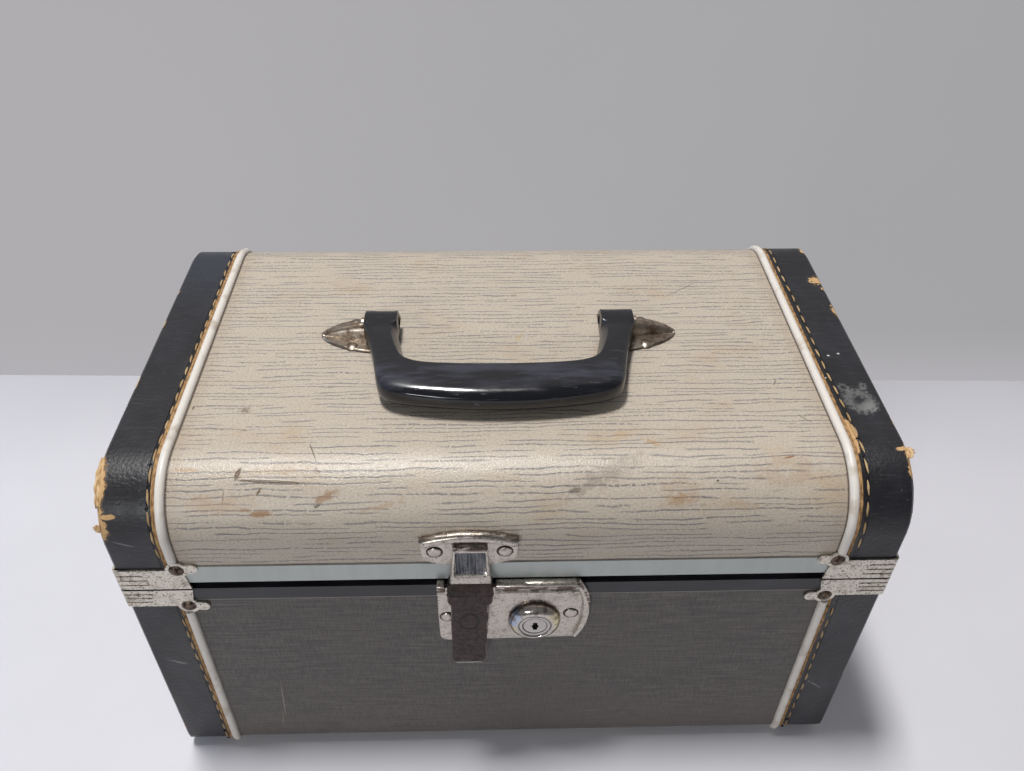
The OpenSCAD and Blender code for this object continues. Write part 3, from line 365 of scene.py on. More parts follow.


# Knocks, cracks and stains: the place on the sheet, half sizes, slant, how ragged, its grain, colour and strength.
# One pale line, along the long crack's upper edge, is a painted highlight.
COVER_MARKS = (
    ((-118.0, -96.5), (17.0, 5.0), 0, 1.3, 5.0, (172, 136, 98), 0.40),
    ((-130.5, -82.0), (7.0, 1.1), -4, 0.6, 3.0, (176, 138, 96), 0.55),
    ((-98.0, -83.0), (22.0, 2.2), 2, 1.4, 4.0, (178, 144, 104), 0.35),
    ((-100.2, -100.4), (5.6, 1.9), 3, 0.5, 2.4, (148, 108, 66), 0.80),
    ((-106.0, -98.6), (3.0, 1.0), -8, 0.7, 2.0, (152, 112, 70), 0.60),
    ((-109.6, -84.2), (2.9, 0.75), 74, 0.5, 1.6, (92, 66, 44), 0.90),
    # A painted highlight along the upper edge of the long crack.
    ((-97.0, -86.5), (13.0, 0.4), -3, 0.3, 2.0, (228, 216, 198), 0.60),
    ((-97.0, -87.5), (14.5, 0.42), -3, 0.35, 2.0, (92, 66, 44), 0.90),
    ((-100.8, -91.2), (2.4, 0.7), 62, 0.5, 1.6, (104, 76, 50), 0.85),
    ((-115.0, -93.6), (3.4, 0.3), 84, 0.3, 2.0, (120, 92, 64), 0.70),
    ((-80.4, -74.5), (7.0, 0.34), -68, 0.4, 2.0, (92, 78, 66), 0.85),
    ((-78.2, -83.0), (2.6, 1.4), -60, 0.9, 1.4, (118, 100, 84), 0.60),
    ((-74.0, -93.6), (6.5, 2.4), 30, 0.9, 2.6, (142, 104, 68), 0.65),
    ((-77.6, -97.4), (1.7, 0.8), 20, 0.6, 1.2, (74, 62, 52), 0.80),
    ((-113.0, -48.3), (2.9, 2.5), 30, 1.5, 1.1, (104, 90, 78), 0.70),
    ((-111.0, -61.0), (1.6, 0.9), 0, 0.9, 1.0, (110, 96, 84), 0.60),
    ((-135.6, -46.6), (0.5, 1.5), 0, 0.3, 1.5, (64, 56, 50), 0.90),
    ((-52.0, -98.0), (10.0, 1.6), 12, 1.3, 3.0, (166, 132, 92), 0.45),
    ((38.0, -86.5), (21.0, 5.2), 27, 1.4, 4.0, (134, 122, 110), 0.50),
    ((26.0, -92.4), (3.4, 1.4), 18, 0.9, 1.3, (84, 76, 70), 0.60),
    ((59.5, -71.0), (5.0, 1.7), -28, 1.5, 1.4, (168, 128, 82), 0.60),
    ((48.0, -66.0), (9.0, 3.6), 20, 1.5, 4.0, (186, 156, 118), 0.45),
    ((68.0, -97.0), (7.5, 3.4), 10, 1.2, 2.6, (162, 124, 82), 0.50),
    ((92.0, -99.0), (9.0, 2.4), -6, 1.3, 3.0, (170, 134, 94), 0.35),
    ((115.0, -79.6), (2.8, 0.55), 12, 0.5, 1.4, (140, 84, 52), 0.80),
    ((91.7, 41.8), (13.2, 0.26), 36.5, 0.4, 1.4, (104, 90, 78), 0.80),
    ((95.0, 46.5), (9.0, 0.22), 30.0, 0.4, 1.2, (120, 106, 92), 0.60),
    ((6.4, 1.6), (3.6, 1.5), 58, 1.2, 1.4, (186, 156, 100), 0.55),
    ((120.2, -33.6), (2.2, 0.34), 60, 0.4, 1.4, (86, 78, 72), 0.80),
    ((84.3, -89.2), (0.6, 0.5), 0, 0.3, 1.0, (70, 48, 36), 0.90),
    ((127.0, -57.5), (3.6, 0.6), -48, 0.6, 1.4, (112, 98, 86), 0.60),
)
cream.lay(thread * 0.88, (98, 97, 104))
for place, half, angle, ragged, size, colour, share in COVER_MARKS:
    cover_mark = mark(cream, sheet, place, half, angle, ragged, size)
    cream.lay(cover_mark * share, colour)
rings = cream.most(mark(cream, sheet, (113.0, -85.0), (13.0, 7.0), 8, 0.9, 3.0, 0.22),
                   mark(cream, sheet, (70.0, -93.0), (9.0, 6.0), -12, 1.0, 3.0, 0.22))
cream.lay(rings * 0.55, (156, 116, 76))
specks = cream.ramp(cream.noise(1.3, 1.0, sheet), 0.735, 0.775)
cream.lay(specks * 0.7, (116, 98, 82))
# The cover is browner towards the welts and has a dark line just above the trim; the dark line beside each welt is a
# painted shadow.
to_welt = abs(cream.x)
cream.lay(cream.ramp(to_welt, 129.0, 138.0) * 0.30, (150, 128, 104))
# Painted shadow beside the welt.
cream.lay(cream.ramp(to_welt, 137.0, 137.7) * 0.85, (66, 52, 40))
cream.lay(cream.ramp(cream.z, 148.2, 147.0) * 0.75, (74, 62, 52))
creases = cream.most(mark(cream, sheet, (-97.0, -87.5), (15.0, 0.9), -3, 0.3, 2.0),
                     mark(cream, sheet, (-109.6, -84.2), (3.2, 1.0), 74, 0.4, 1.6))
cream.set("Roughness", cream.ramp(canvas, 0.2, 0.8, 0.24, 0.42))
cream.bump(cream.noise((0.7, 0.7, 1.0), 2.0, sheet), 0.16)
cream.bump(canvas, 0.1)
cream.bump(thread, -0.08)
cream.bump(creases, -0.7)
cream.bump(cream.noise((40.0, 14.0, 1.0), 2.0, sheet), 0.5)
cream.dress("lid_cover")

# ---- The base's cover ----
# Grey-brown coated paper with a linen-like print, glued round the base.
# It is scratched, and rubbed pale along the bottom edge. Lower down it is painted lighter, as light bounced up from
# the table.

linen = Finish("linen_cover_paper", (84, 79, 75), 0.5)
slub = linen.noise((16.0, 0.8, 0.8), 3.0, rough=0.6)
cross = linen.noise((0.6, 5.0, 5.0), 2.0)
cloudy = linen.noise((60.0, 40.0, 40.0), 3.0)
weave = cross * 0.35 + slub * 0.65
linen.set("Base Color", linen.mix(linen.ramp(weave, 0.36, 0.66), (61, 57, 54), (104, 98, 94)))
linen.lay(linen.ramp(cloudy, 0.4, 0.7) * 0.4, (88, 81, 77))
edge = linen.noise((7.0, 3.0, 3.0), 4.0)
rubbed = linen.ramp(edge * 5.0 + linen.z, 9.5, 5.0)
# Painted bounce light from the table: lighter towards the bottom.
linen.lay(linen.ramp(linen.z, 60.0, 8.0) * 0.25, (128, 120, 113))
linen.lay(rubbed * 0.75, (176, 160, 140))
front_sheet = linen.pattern("CombineXYZ", linen.x, linen.z, 0.0)
for place, half, angle, share in (((-111.0, 42.0), (18.0, 0.25), 86, 0.7), ((-114.0, 24.0), (9.0, 0.2), 82, 0.6),
                                  ((120.0, 44.0), (5.0, 0.2), 20, 0.5), ((40.0, 26.0), (9.0, 0.2), 4, 0.4)):
    scratch = mark(linen, front_sheet, place, half, angle, 0.3, 2.0)
    linen.lay(scratch * share, (176, 158, 142))
linen.lay(linen.ramp(linen.z, 123.4, 124.4, 0.0, 0.6), (168, 160, 150))
linen.set("Roughness", linen.ramp(slub, 0.3, 0.7, 0.42, 0.56))
linen.bump(weave, 0.12)
linen.dress("base_cover")

# ---- The end caps ----
# Dark navy coated cloth, drawn over each end of the base and the lid, glued down and sewn beside the welt.
# Its raw inner edge shows tan, and knocks have torn the coating off its outer edges down to the paper.

SEAM_X = 145.1       # the row of stitches, which strays outwards on the right
SEAM_STRAY = 0.8
RAW_X = 143.5        # outer side of the raw edge
BASE_SHAPE = (91.0, 8.0, 10.8, -1)


def capped(name, shape, torn, rings, dots):
    """The end caps' coated cloth, with its raw edge, its seam, and what is torn or scuffed on this one."""
    cloth = Finish(name, (40, 40, 45), 0.42)
    over, deep = unrolled(cloth, shape)
    out = abs(cloth.x) + deep
    sheet = cloth.pattern("CombineXYZ", out * cloth.sum("SIGN", cloth.x), over, 0.0)
    fine = cloth.noise((9.0, 0.7, 0.7), 3.0)
    dull = cloth.ramp(cloth.noise((20.0, 34.0, 34.0), 4.0), 0.4, 0.7)
    cloth.set("Base Color", cloth.mix(dull, (25, 25, 30), (37, 37, 43)))
    # A painted bluish sheen, on the left end and towards the back.
    painted_blue_sheen = cloth.ramp(over, 10.0, 90.0) * cloth.ramp(cloth.x, 150.0, -150.0)
    cloth.lay(painted_blue_sheen, (44, 50, 62))
    cloth.lay(cloth.ramp(fine, 0.5, 0.75) * 0.35, (66, 64, 66))
    nicks = cloth.ramp(cloth.noise(1.3, 1.0), 0.76, 0.79)
    cloth.lay(nicks * 0.4, (120, 116, 112))
    for place, half, angle, ragged, thin in rings:
        scuff = mark(cloth, sheet, place, half, angle, ragged, 1.6, thin)
        cloth.lay(scuff * 0.62, (136, 136, 134))
    for place, half in dots:
        cloth.lay(mark(cloth, sheet, place, half, 0, 0.2, 1.0), (206, 206, 202))
    # The seam: a pressed furrow with painted shade along it, and the raw edge beside the welt.
    seam = cloth.sum("SIGN", cloth.x) * SEAM_STRAY + SEAM_X
    off_seam = abs(out - seam)
    furrow = cloth.ramp(off_seam, 0.95, 0.45)
    cloth.lay(furrow * 0.75, (13, 12, 15))
    frayed = cloth.noise((2.0, 5.0, 5.0), 3.0) * 0.5 + out
    raw = cloth.ramp(frayed, RAW_X + 0.42, RAW_X + 0.24)
    fibres = cloth.mix(cloth.noise((0.6, 2.4, 2.4), 3.0), (116, 82, 48), (186, 146, 98))
    cloth.lay(raw, fibres)
    cloth.lay(cloth.ramp(out, 142.5, 142.3, 0.0, 0.9), (34, 26, 20))
    # What is torn: buff paper with a fibrous face and a darker rim.
    bare = cloth.ramp(cloth.ramp(cloth.noise(2.6, 2.0), 0.66, 0.7) * cloth.ramp(abs(out - 165.6), 1.3, 0.5), 0.4, 0.7)
    rim = bare
    for place, half, angle, ragged, size in torn:
        hole = mark(cloth, sheet, place, half, angle, ragged, size)
        bare = cloth.most(bare, cloth.ramp(hole, 0.42, 0.58))
        rim = cloth.most(rim, cloth.ramp(hole, 0.1, 0.4))
    paper = cloth.mix(cloth.noise((1.4, 4.0, 4.0), 4.0, rough=0.65), (168, 122, 74), (222, 190, 142))
    cloth.lay(rim - bare, (104, 82, 60))
    cloth.lay(bare, paper)
    rough = cloth.ramp(cloth.noise((14.0, 22.0, 22.0), 4.0), 0.3, 0.7, 0.36, 0.48)
    cloth.set("Roughness", cloth.most(rough, cloth.most(bare, raw) * 0.9))
    cloth.bump(cloth.noise(1.5, 3.0), 0.22)
    cloth.bump(cloth.noise((14.0, 24.0, 24.0), 2.0), 0.25)
    cloth.bump(furrow, -0.45)
    cloth.bump(cloth.most(bare, raw), -0.5)
    return cloth


lid_cloth = capped("navy_lid_cloth", LID_SHAPE, (
    ((-165.8, -88.0), (4.8, 17.5), 1, 0.6, 5.0), ((-160.6, -100.6), (3.6, 1.5), 0, 0.4, 2.0),
    ((-165.6, -106.0), (5.2, 7.5), 12, 0.5, 3.0), ((-165.6, 42.0), (1.9, 2.0), 0, 0.5, 1.5),
    ((-165.6, 15.4), (2.2, 3.6), 0, 0.6, 1.5), ((-166.0, -29.0), (2.2, 5.6), 0, 0.6, 2.0),
    ((165.0, 79.0), (3.0, 7.0), -14, 0.7, 2.4), ((162.6, 47.6), (5.0, 4.8), -6, 0.9, 2.0),
    ((165.0, 40.2), (2.8, 1.8), 0, 0.6, 1.5), ((164.8, 19.5), (2.7, 6.4), 14, 0.8, 2.2),
    ((165.9, -60.0), (1.3, 4.4), 0, 0.6, 2.0), ((166.4, -80.6), (3.7, 9.6), -3, 0.6, 4.0),
    ((162.6, -76.4), (3.6, 1.2), 8, 0.4, 1.5), ((164.9, -86.4), (2.7, 3.6), 0, 0.5, 2.0),
    ((143.6, -68.0), (3.0, 12.5), -3, 0.4, 5.0)),
    (((154.5, -47.0), (8.0, 9.6), 10, 0.6, 0.34), ((157.0, -50.5), (5.0, 4.0), 20, 1.2, 0.0),
     ((159.0, -37.0), (2.4, 2.6), 0, 1.0, 0.4), ((150.0, -38.0), (2.6, 3.4), 30, 0.5, 0.24),
     ((-157.0, -113.5), (5.0, 0.5), -20, 0.5, 0.0)),
    (((150.0, -15.0), (0.8, 0.6)), ((155.1, -13.6), (0.8, 0.6)), ((143.9, -31.0), (0.5, 0.5))))
lid_cloth.dress("lid_end_cap_left", "lid_end_cap_right")
base_cloth = capped("navy_base_cloth", BASE_SHAPE, (
    ((163.8, -97.5), (4.2, 5.0), 10, 0.8, 2.5), ((165.6, -150.0), (1.2, 5.0), 0, 0.7, 2.0),
    ((-165.6, -110.0), (1.3, 6.0), 0, 0.7, 2.0), ((-164.6, -96.0), (2.4, 3.0), 0, 0.8, 2.0),
    ((165.6, 120.0), (1.6, 5.0), 0, 0.7, 2.0)),
    (((-154.0, -170.0), (5.0, 1.0), 30, 1.2, 0.0), ((152.0, -140.0), (6.0, 0.6), 40, 1.0, 0.0)), ())
base_cloth.dress("base_end_cap_left", "base_end_cap_right")
binding = Finish("navy_rim_binding", (30, 30, 36), 0.36)
dull = binding.ramp(binding.noise((30.0, 9.0, 9.0), 4.0), 0.4, 0.7)
binding.set("Base Color", binding.mix(dull, (24, 24, 30), (42, 42, 48)))
binding.bump(binding.noise((1.0, 1.0, 1.0), 3.0), 0.08)
binding.dress("base_binding")

# ---- The seams ----
# Waxed buff thread, lock-stitched through the end caps just outside each welt.
# The needle's holes show dark between the stitches.

STITCH_PITCH = 8.9
STITCH_LENGTH = 7.2
# The four capped edges: their side, its word, the body, half the length of the cloth over it, and the outline.
EDGES = [(side, word, *edge) for side, word in ((-1, "left"), (1, "right"))
         for edge in (("lid", 124.0, LID_SHAPE), ("base", 205.0, BASE_SHAPE))]


def on_the_case(distance, shape, lift=0.0):
    """A point over the case at a distance along its outline from the middle: y, z and the tilt there."""
    flat, turn, spring, way = shape
    side = 1 if distance > 0 else -1
    left = abs(distance) - flat
    if left < 0:
        return distance, (spring + way * (turn + lift)), 0.0
    tilt = min(left / turn, math.pi / 2)
    below = max(left - turn * math.pi / 2, 0.0)
    y = side * (flat + (turn + lift) * math.sin(tilt))
    z = spring + way * ((turn + lift) * math.cos(tilt) - below)
    return y, z, -side * way * tilt


def all_over(step, **options):
    """One step of modelling on the whole of the active piece, in edit mode."""
    bpy.ops.object.mode_set(mode="EDIT")
    bpy.ops.mesh.select_all(action="SELECT")
    step(**options)
    bpy.ops.object.mode_set(mode="OBJECT")


def joined(*pieces):
    """Several parts of one piece as one mesh."""
    ready()
    for piece in pieces:
        piece.select_set(True)
    bpy.context.view_layer.objects.active = pieces[0]
    bpy.ops.object.join()
    return pieces[0]


def fitted(piece, name, finish, body, slot, *stands_for, angle=35):
    """Name and smooth a new piece, and say its finish, what it moves with and the CAD nodes it stands for."""
    ready()
    piece.select_set(True)
    bpy.context.view_layer.objects.active = piece
    made(name)
    bpy.ops.object.shade_smooth_by_angle(angle=math.radians(angle))
    finish.dress(piece)
    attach(piece, body)
    if stands_for:
        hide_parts(*stands_for)


def sewn(kind, pattern, finish):
    """Copies of a stitch or a hole round each capped edge, a row between the two ends of the cloth."""
    for side, word, body, reach, shape in EDGES:
        name = f"{body}_{kind}_{word}"
        random.seed(name)
        row = []
        for step in range(int(2 * reach / STITCH_PITCH)):
            distance = (step + 0.5) * STITCH_PITCH - reach
            y, z, tilt = on_the_case(distance, shape, 0.42)
            x = side * SEAM_X + SEAM_STRAY + 0.35 * math.sin(distance / 13) + random.uniform(-0.12, 0.12)
            stitch = bpy.data.objects.new(name, pattern.copy())
            scene.collection.objects.link(stitch)
            upright = 0.0 if body == "lid" else math.pi
            stitch.data.transform(Matrix.Translation(Vector((x, y, z)) / 1000)
                                  @ Matrix.Rotation(tilt + upright, 4, "X")
                                  @ Matrix.Rotation(math.radians(random.uniform(2, 9)), 4, "Z"))
            row.append(stitch)
        fitted(joined(*row), name, finish, body, "welt", angle=180)


ready()
bpy.ops.mesh.primitive_uv_sphere_add(segments=10, ring_count=8, radius=0.001, rotation=(math.pi / 2, 0, 0))
stitch = bpy.context.object
bpy.ops.object.transform_apply(rotation=True)
all_over(bpy.ops.transform.resize, value=(0.42, STITCH_LENGTH / 2, 0.44))
for corner in stitch.data.vertices:
    along = corner.co.y * 1000 / (STITCH_LENGTH / 2)
    corner.co.x *= 1.3 - 0.5 * abs(along)
    corner.co.z -= 0.00055 * abs(along) ** 3
    corner.co.x += 0.00012 * math.sin(along * 3)
thread_wax = Finish("waxed_buff_thread", (178, 146, 98), 0.55)
ply = thread_wax.noise((0.5, 0.35, 0.5), 2.0)
aged = thread_wax.ramp(thread_wax.noise(16.0, 3.0), 0.35, 0.65)
thread_wax.set("Base Color", thread_wax.mix(ply, thread_wax.mix(aged, (122, 92, 56), (160, 128, 84)),
                                            thread_wax.mix(aged, (186, 156, 112), (214, 188, 146))))
thread_wax.bump(ply, 0.12)
sewn("stitches", stitch.data, thread_wax)
# A needle hole is a small dimple between two stitches, drawn a little off the row; its near-black colour is painted
# shade in the hole.
punched = Finish("needle_hole", (8, 8, 9), 0.8)
punched.set("Base Color", punched.mix(punched.noise(0.4, 2.0), (6, 6, 7), (16, 15, 16)))
stitch.data.transform(Matrix.Translation((0, STITCH_PITCH / 2000, -0.00035)) @ Matrix.Diagonal((1.6, 0.22, 0.9, 1.0)))
sewn("holes", stitch.data, punched)
bpy.data.objects.remove(stitch)

# ---- The torn flaps ----
# Strips of the end caps' paper backing, torn loose by knocks.
# They stand off the lid's outer edges and curl outwards.


def apply_all(piece):
    for modifier in list(piece.modifiers):
        bpy.ops.object.modifier_apply(modifier=modifier.name)


def flap(name, start, end, x, out, curl, width):
    """A thin ragged strip that leaves the edge and curls outwards, between two distances over the case."""
    ready()
    bpy.ops.mesh.primitive_grid_add(x_subdivisions=5, y_subdivisions=16, size=1)
    piece = bpy.context.object
    random.seed(name)
    side = 1 if x > 0 else -1
    for corner in piece.data.vertices:
        share, along = corner.co.x + 0.5, corner.co.y + 0.5
        body = math.sin(math.pi * min(max(along, 0.03), 0.97)) ** 0.6
        ragged = 1 + 0.35 * math.sin(along * 23) * share + random.uniform(-0.12, 0.12) * share
        y, z, tilt = on_the_case(start + (end - start) * along, LID_SHAPE, 0.25 + curl * share * share * body)
        corner.co = Vector((x + side * (share * out * body * ragged - width * (1 - share)), y, z)) / 1000
    piece.data.update()
    thick = piece.modifiers.new("paper", "SOLIDIFY")
    thick.thickness = 0.00035
    apply_all(piece)
    fitted(piece, name, torn_paper, "lid", "end_cap", angle=180)


torn_paper = Finish("torn_backing_paper", (206, 168, 120), 0.85)
pulp = torn_paper.noise((0.7, 3.0, 3.0), 4.0)
torn_paper.set("Base Color", torn_paper.mix(torn_paper.ramp(pulp, 0.3, 0.7), (164, 122, 78), (226, 196, 150)))
torn_paper.bump(pulp, 0.2)
flap("torn_flap_front_left", -76.0, -97.0, -165.0, 0.7, 0.7, 2.2)
flap("torn_flap_low_left", -104.0, -107.5, -165.2, 1.9, -0.4, 1.0)
flap("torn_flap_front_right", -76.0, -81.0, 165.0, 1.6, 1.3, 1.6)

# ---- The raw edges ----
# Each end cap's inner edge was cut and never turned in.
# It shows as a tan strip of board and paper, glued down against the welt.


def formed(columns, rows, place):
    """A grid of faces whose corners are put where a function says, in mm, for their shares across and along."""
    ready()
    bpy.ops.mesh.primitive_grid_add(x_subdivisions=columns, y_subdivisions=rows, size=1)
    piece = bpy.context.object
    for corner in piece.data.vertices:
        corner.co = Vector(place(corner.co.x + 0.5, corner.co.y + 0.5)) / 1000
    all_over(bpy.ops.mesh.remove_doubles, threshold=0.000002)
    all_over(bpy.ops.mesh.normals_make_consistent, inside=False)
    return piece


def edging(side, reach, shape):
    """A thin rounded strip along one end's outline, beside its welt."""
    def place(around, along):
        distance = reach * (2 * along - 1)
        angle = 2 * math.pi * around
        y, z, tilt = on_the_case(distance, shape, 0.55 + 0.6 * math.sin(angle) + 0.1 * math.sin(distance * 0.8))
        return side * (142.55 + (0.95 + 0.12 * math.sin(distance * 1.7)) * math.cos(angle)), y, z
    return formed(8, 120, place)


raw_board = Finish("raw_cut_board", (150, 112, 70), 0.8)
frays = raw_board.noise((0.8, 3.0, 3.0), 4.0)
raw_board.set("Base Color", raw_board.mix(raw_board.ramp(frays, 0.3, 0.7), (112, 80, 48), (184, 146, 98)))
raw_board.bump(frays, 0.2)
for side, word, body, reach, shape in EDGES:
    fitted(edging(side, reach, shape), f"{body}_raw_edge_{word}", raw_board, body, "welt")

# ---- The welts ----
# Off-white vinyl piping, laid into the joint between a cover and an end cap and sewn in with it.
# It is dulled by handling.

piping = Finish("off_white_piping", (222, 216, 208), 0.36)
dirt = piping.ramp(piping.noise(9.0, 5.0), 0.5, 0.75)
piping.set("Base Color", piping.mix(dirt * 0.6, (224, 218, 210), (168, 150, 128)))
piping.bump(piping.noise(2.0, 3.0), 0.08)
piping.dress("lid_welt_left", "lid_welt_right", "base_welt_left", "base_welt_right")

# ---- The rims ----
# A pale aluminium strip, pressed on round the lid's edge.
# Inside the base a black board tongue is glued, and the lid closes over it.

aluminium = Finish("dull_aluminium", (182, 186, 184), 0.38, 0.3)
haze = aluminium.noise((6.0, 30.0, 60.0), 3.0)
aluminium.set("Base Color", aluminium.mix(aluminium.ramp(haze, 0.3, 0.7), (176, 181, 178), (186, 190, 187)))
aluminium.set("Roughness", aluminium.ramp(haze, 0.3, 0.7, 0.3, 0.5))
# Painted shadow: the trim's top is dark near each end, under the end caps' edges.
ends = aluminium.ramp(abs(aluminium.x), 136.0, 138.0) * aluminium.ramp(aluminium.z, 144.6, 145.0)
aluminium.lay(ends, (18, 18, 21))
aluminium.dress("lid_trim")
blackboard = Finish("black_rim_board", (26, 25, 27), 0.7)
blackboard.set("Base Color", blackboard.mix(blackboard.noise(3.0, 4.0), (20, 19, 21), (38, 36, 37)))
blackboard.bump(blackboard.noise(0.8, 3.0), 0.12)
blackboard.dress("rim_tongue")

# ---- The linings ----
# Thin ribbed rayon cloth on paper, with a faint watered pattern.
# It is glued inside the base and the lid.

rayon = Finish("rayon_lining", (176, 158, 136), 0.5, Sheen_Weight=0.3)
rib = rayon.noise((0.5, 0.5, 14.0), 2.0)
moire = rayon.noise((30.0, 30.0, 90.0), 4.0)
rayon.set("Base Color", rayon.mix(rayon.ramp(moire, 0.35, 0.65), (166, 147, 124), (190, 172, 150)))
rayon.bump(rib, 0.12)
rayon.dress("base_lining", "lid_lining")

# ---- The corner plates ----
# Stamped nickel-plated steel, ribbed at the corner and held by a rivet through each end.
# The plating is pitted. The hinges, the feet, the stay and the lock's inner parts are plated alike.

SEAM_HEIGHT = 132.8
nickel = Finish("pitted_nickel", (196, 190, 180), 0.3, 1.0)
blotch = nickel.noise(3.0, 5.0, rough=0.65)
pits = nickel.ramp(nickel.noise(0.8, 3.0), 0.58, 0.66)
tarnish = nickel.ramp(blotch, 0.5, 0.72)
nickel.set("Base Color", nickel.mix(tarnish * 0.7, (208, 201, 189), (128, 112, 94)))
nickel.lay(pits * 0.8, (52, 43, 36))
nickel.set("Roughness", nickel.ramp(blotch, 0.3, 0.7, 0.22, 0.48))
nickel.bump(pits, -0.08)
seam_line = nickel.ramp(abs(nickel.z - SEAM_HEIGHT), 0.62, 0.4)
seam_line = seam_line * nickel.ramp(abs(nickel.x), 120.0, 125.0)
nickel.lay(seam_line, (20, 17, 15))
nickel.dress(*(f"{part}_{fitting}_{side}" for part in ("lid", "base") for side in ("left", "right")
               for fitting in ("corner_front", "corner_back", "hinge")),
             "base_hinge_rivets", "lid_hinge_rivets", "hinge_pin_left", "hinge_pin_right", "feet", "stay_arm",
             "stay_lid_rivet", "stay_base_rivet", "lock_cover", "lock_cam", "lock_bolt", "lever_pin", "mirror_frame")
bronze = Finish("dark_rivet_bronze", (78, 66, 58), 0.45, 1.0)
bronze.set("Base Color", bronze.mix(bronze.ramp(bronze.noise(1.6, 5.0), 0.35, 0.65), (50, 42, 37), (118, 102, 88)))
bronze.dress("lid_corner_rivets", "base_corner_rivets")

# ---- The catch ----
# A nickel pressing on the lid's front: a plate with a rolled bead along its arched top, and a hood
# with a bright lip and, below it, a skirt rolled in at its foot for the lever's claw. Two flat rivets hold it.
# The skirt is painted dark rust, which also stands for the shade under the lip.

FRONT = -99.0


def pressing(outline, back, thick, edge):
    """A flat plate that faces the front, cut to an outline of x and z and softened along its edges."""
    ready()
    bpy.ops.mesh.primitive_circle_add(vertices=len(outline), radius=1, fill_type="NGON")
    plate = bpy.context.object
    for corner, (x, z) in zip(plate.data.vertices, outline):
        corner.co = Vector((x, FRONT - back, z)) / 1000
    all_over(bpy.ops.mesh.extrude_region_move, TRANSFORM_OT_translate={"value": (0, -thick / 1000, 0)})
    all_over(bpy.ops.mesh.normals_make_consistent, inside=False)
    soft = plate.modifiers.new("soft edges", "BEVEL")
    soft.width, soft.segments, soft.limit_method = edge / 1000, 3, "ANGLE"
    apply_all(plate)
    return plate


def turned(x, z, profile, columns=48):
    """A round piece about an axis that points at the front, from radii and heights above the cover."""
    def place(around, along):
        radius, proud = profile[round(along * (len(profile) - 1))]
        angle = 2 * math.pi * around
        return x + radius * math.cos(angle), FRONT - proud, z + radius * math.sin(angle)
    return formed(columns, len(profile) - 1, place)


def thickened(sheet, turned_over, thick):
    """A sheet with a wall of that thickness behind it, turned over first where it faces the wrong way."""
    if turned_over:
        all_over(bpy.ops.mesh.flip_normals)
    wall = sheet.modifiers.new("wall", "SOLIDIFY")
    wall.thickness, wall.offset = thick / 1000, -1
    apply_all(sheet)


def shell(rows, across, thick):
    """Sheet metal over rows of (z, height, half width, centre, flange, recess), each with that section across:
    its share of the half width, of the flange's depth and of the recess's."""
    def place(u, v):
        z, proud, half, centre, flange, recess = rows[round(v * (len(rows) - 1))]
        share, down, inner = across[round(u * (len(across) - 1))]
        return centre + share * half, FRONT - (proud - down * flange - inner * recess), z
    piece = formed(len(across) - 1, len(rows) - 1, place)
    thickened(piece, piece.data.polygons[len(piece.data.polygons) // 2].normal.y > 0, thick)
    return piece


def both_sides(half, middle):
    """A section's left half, its middle and the same half on the right."""
    return half + (middle,) + tuple((-share, down, inner) for share, down, inner in reversed(half))


ARCH_X, ARCH_Z, ARCH_RADIUS, BEAD_RADIUS = -17.0, 110.0, 54.8, 55.2
arch = [(ARCH_X + ARCH_RADIUS * math.sin(lean), ARCH_Z + ARCH_RADIUS * math.cos(lean))
        for lean in (math.radians(21.3 - 3.55 * i) for i in range(13))]
catch = pressing([(3.2, 158.1)] + arch + [(-37.2, 158.0), (-36.9, 150.4), (-35.4, 148.7), (-27.7, 146.2),
                                          (-6.8, 146.2), (0.9, 148.9), (2.9, 150.7)], -0.2, 1.2, 0.35)
# The bead's lean along the arch in degrees, and its radius there.
BEAD = (((-21.2, 0.0), (-21.2, 1.9), (-20.9, 2.3), (-20.3, 2.5))
        + tuple((-20 + 2.5 * i, 2.5) for i in range(1, 16))
        + ((20.3, 2.5), (20.9, 2.3), (21.2, 1.9), (21.2, 0.0)))


def bead_place(around, along):
    lean, radius = BEAD[round(along * (len(BEAD) - 1))]
    lean, angle = math.radians(lean), 2 * math.pi * around
    out = BEAD_RADIUS + radius * math.cos(angle)
    return ARCH_X + out * math.sin(lean), FRONT - 1.5 - radius * math.sin(angle), ARCH_Z + out * math.cos(lean)


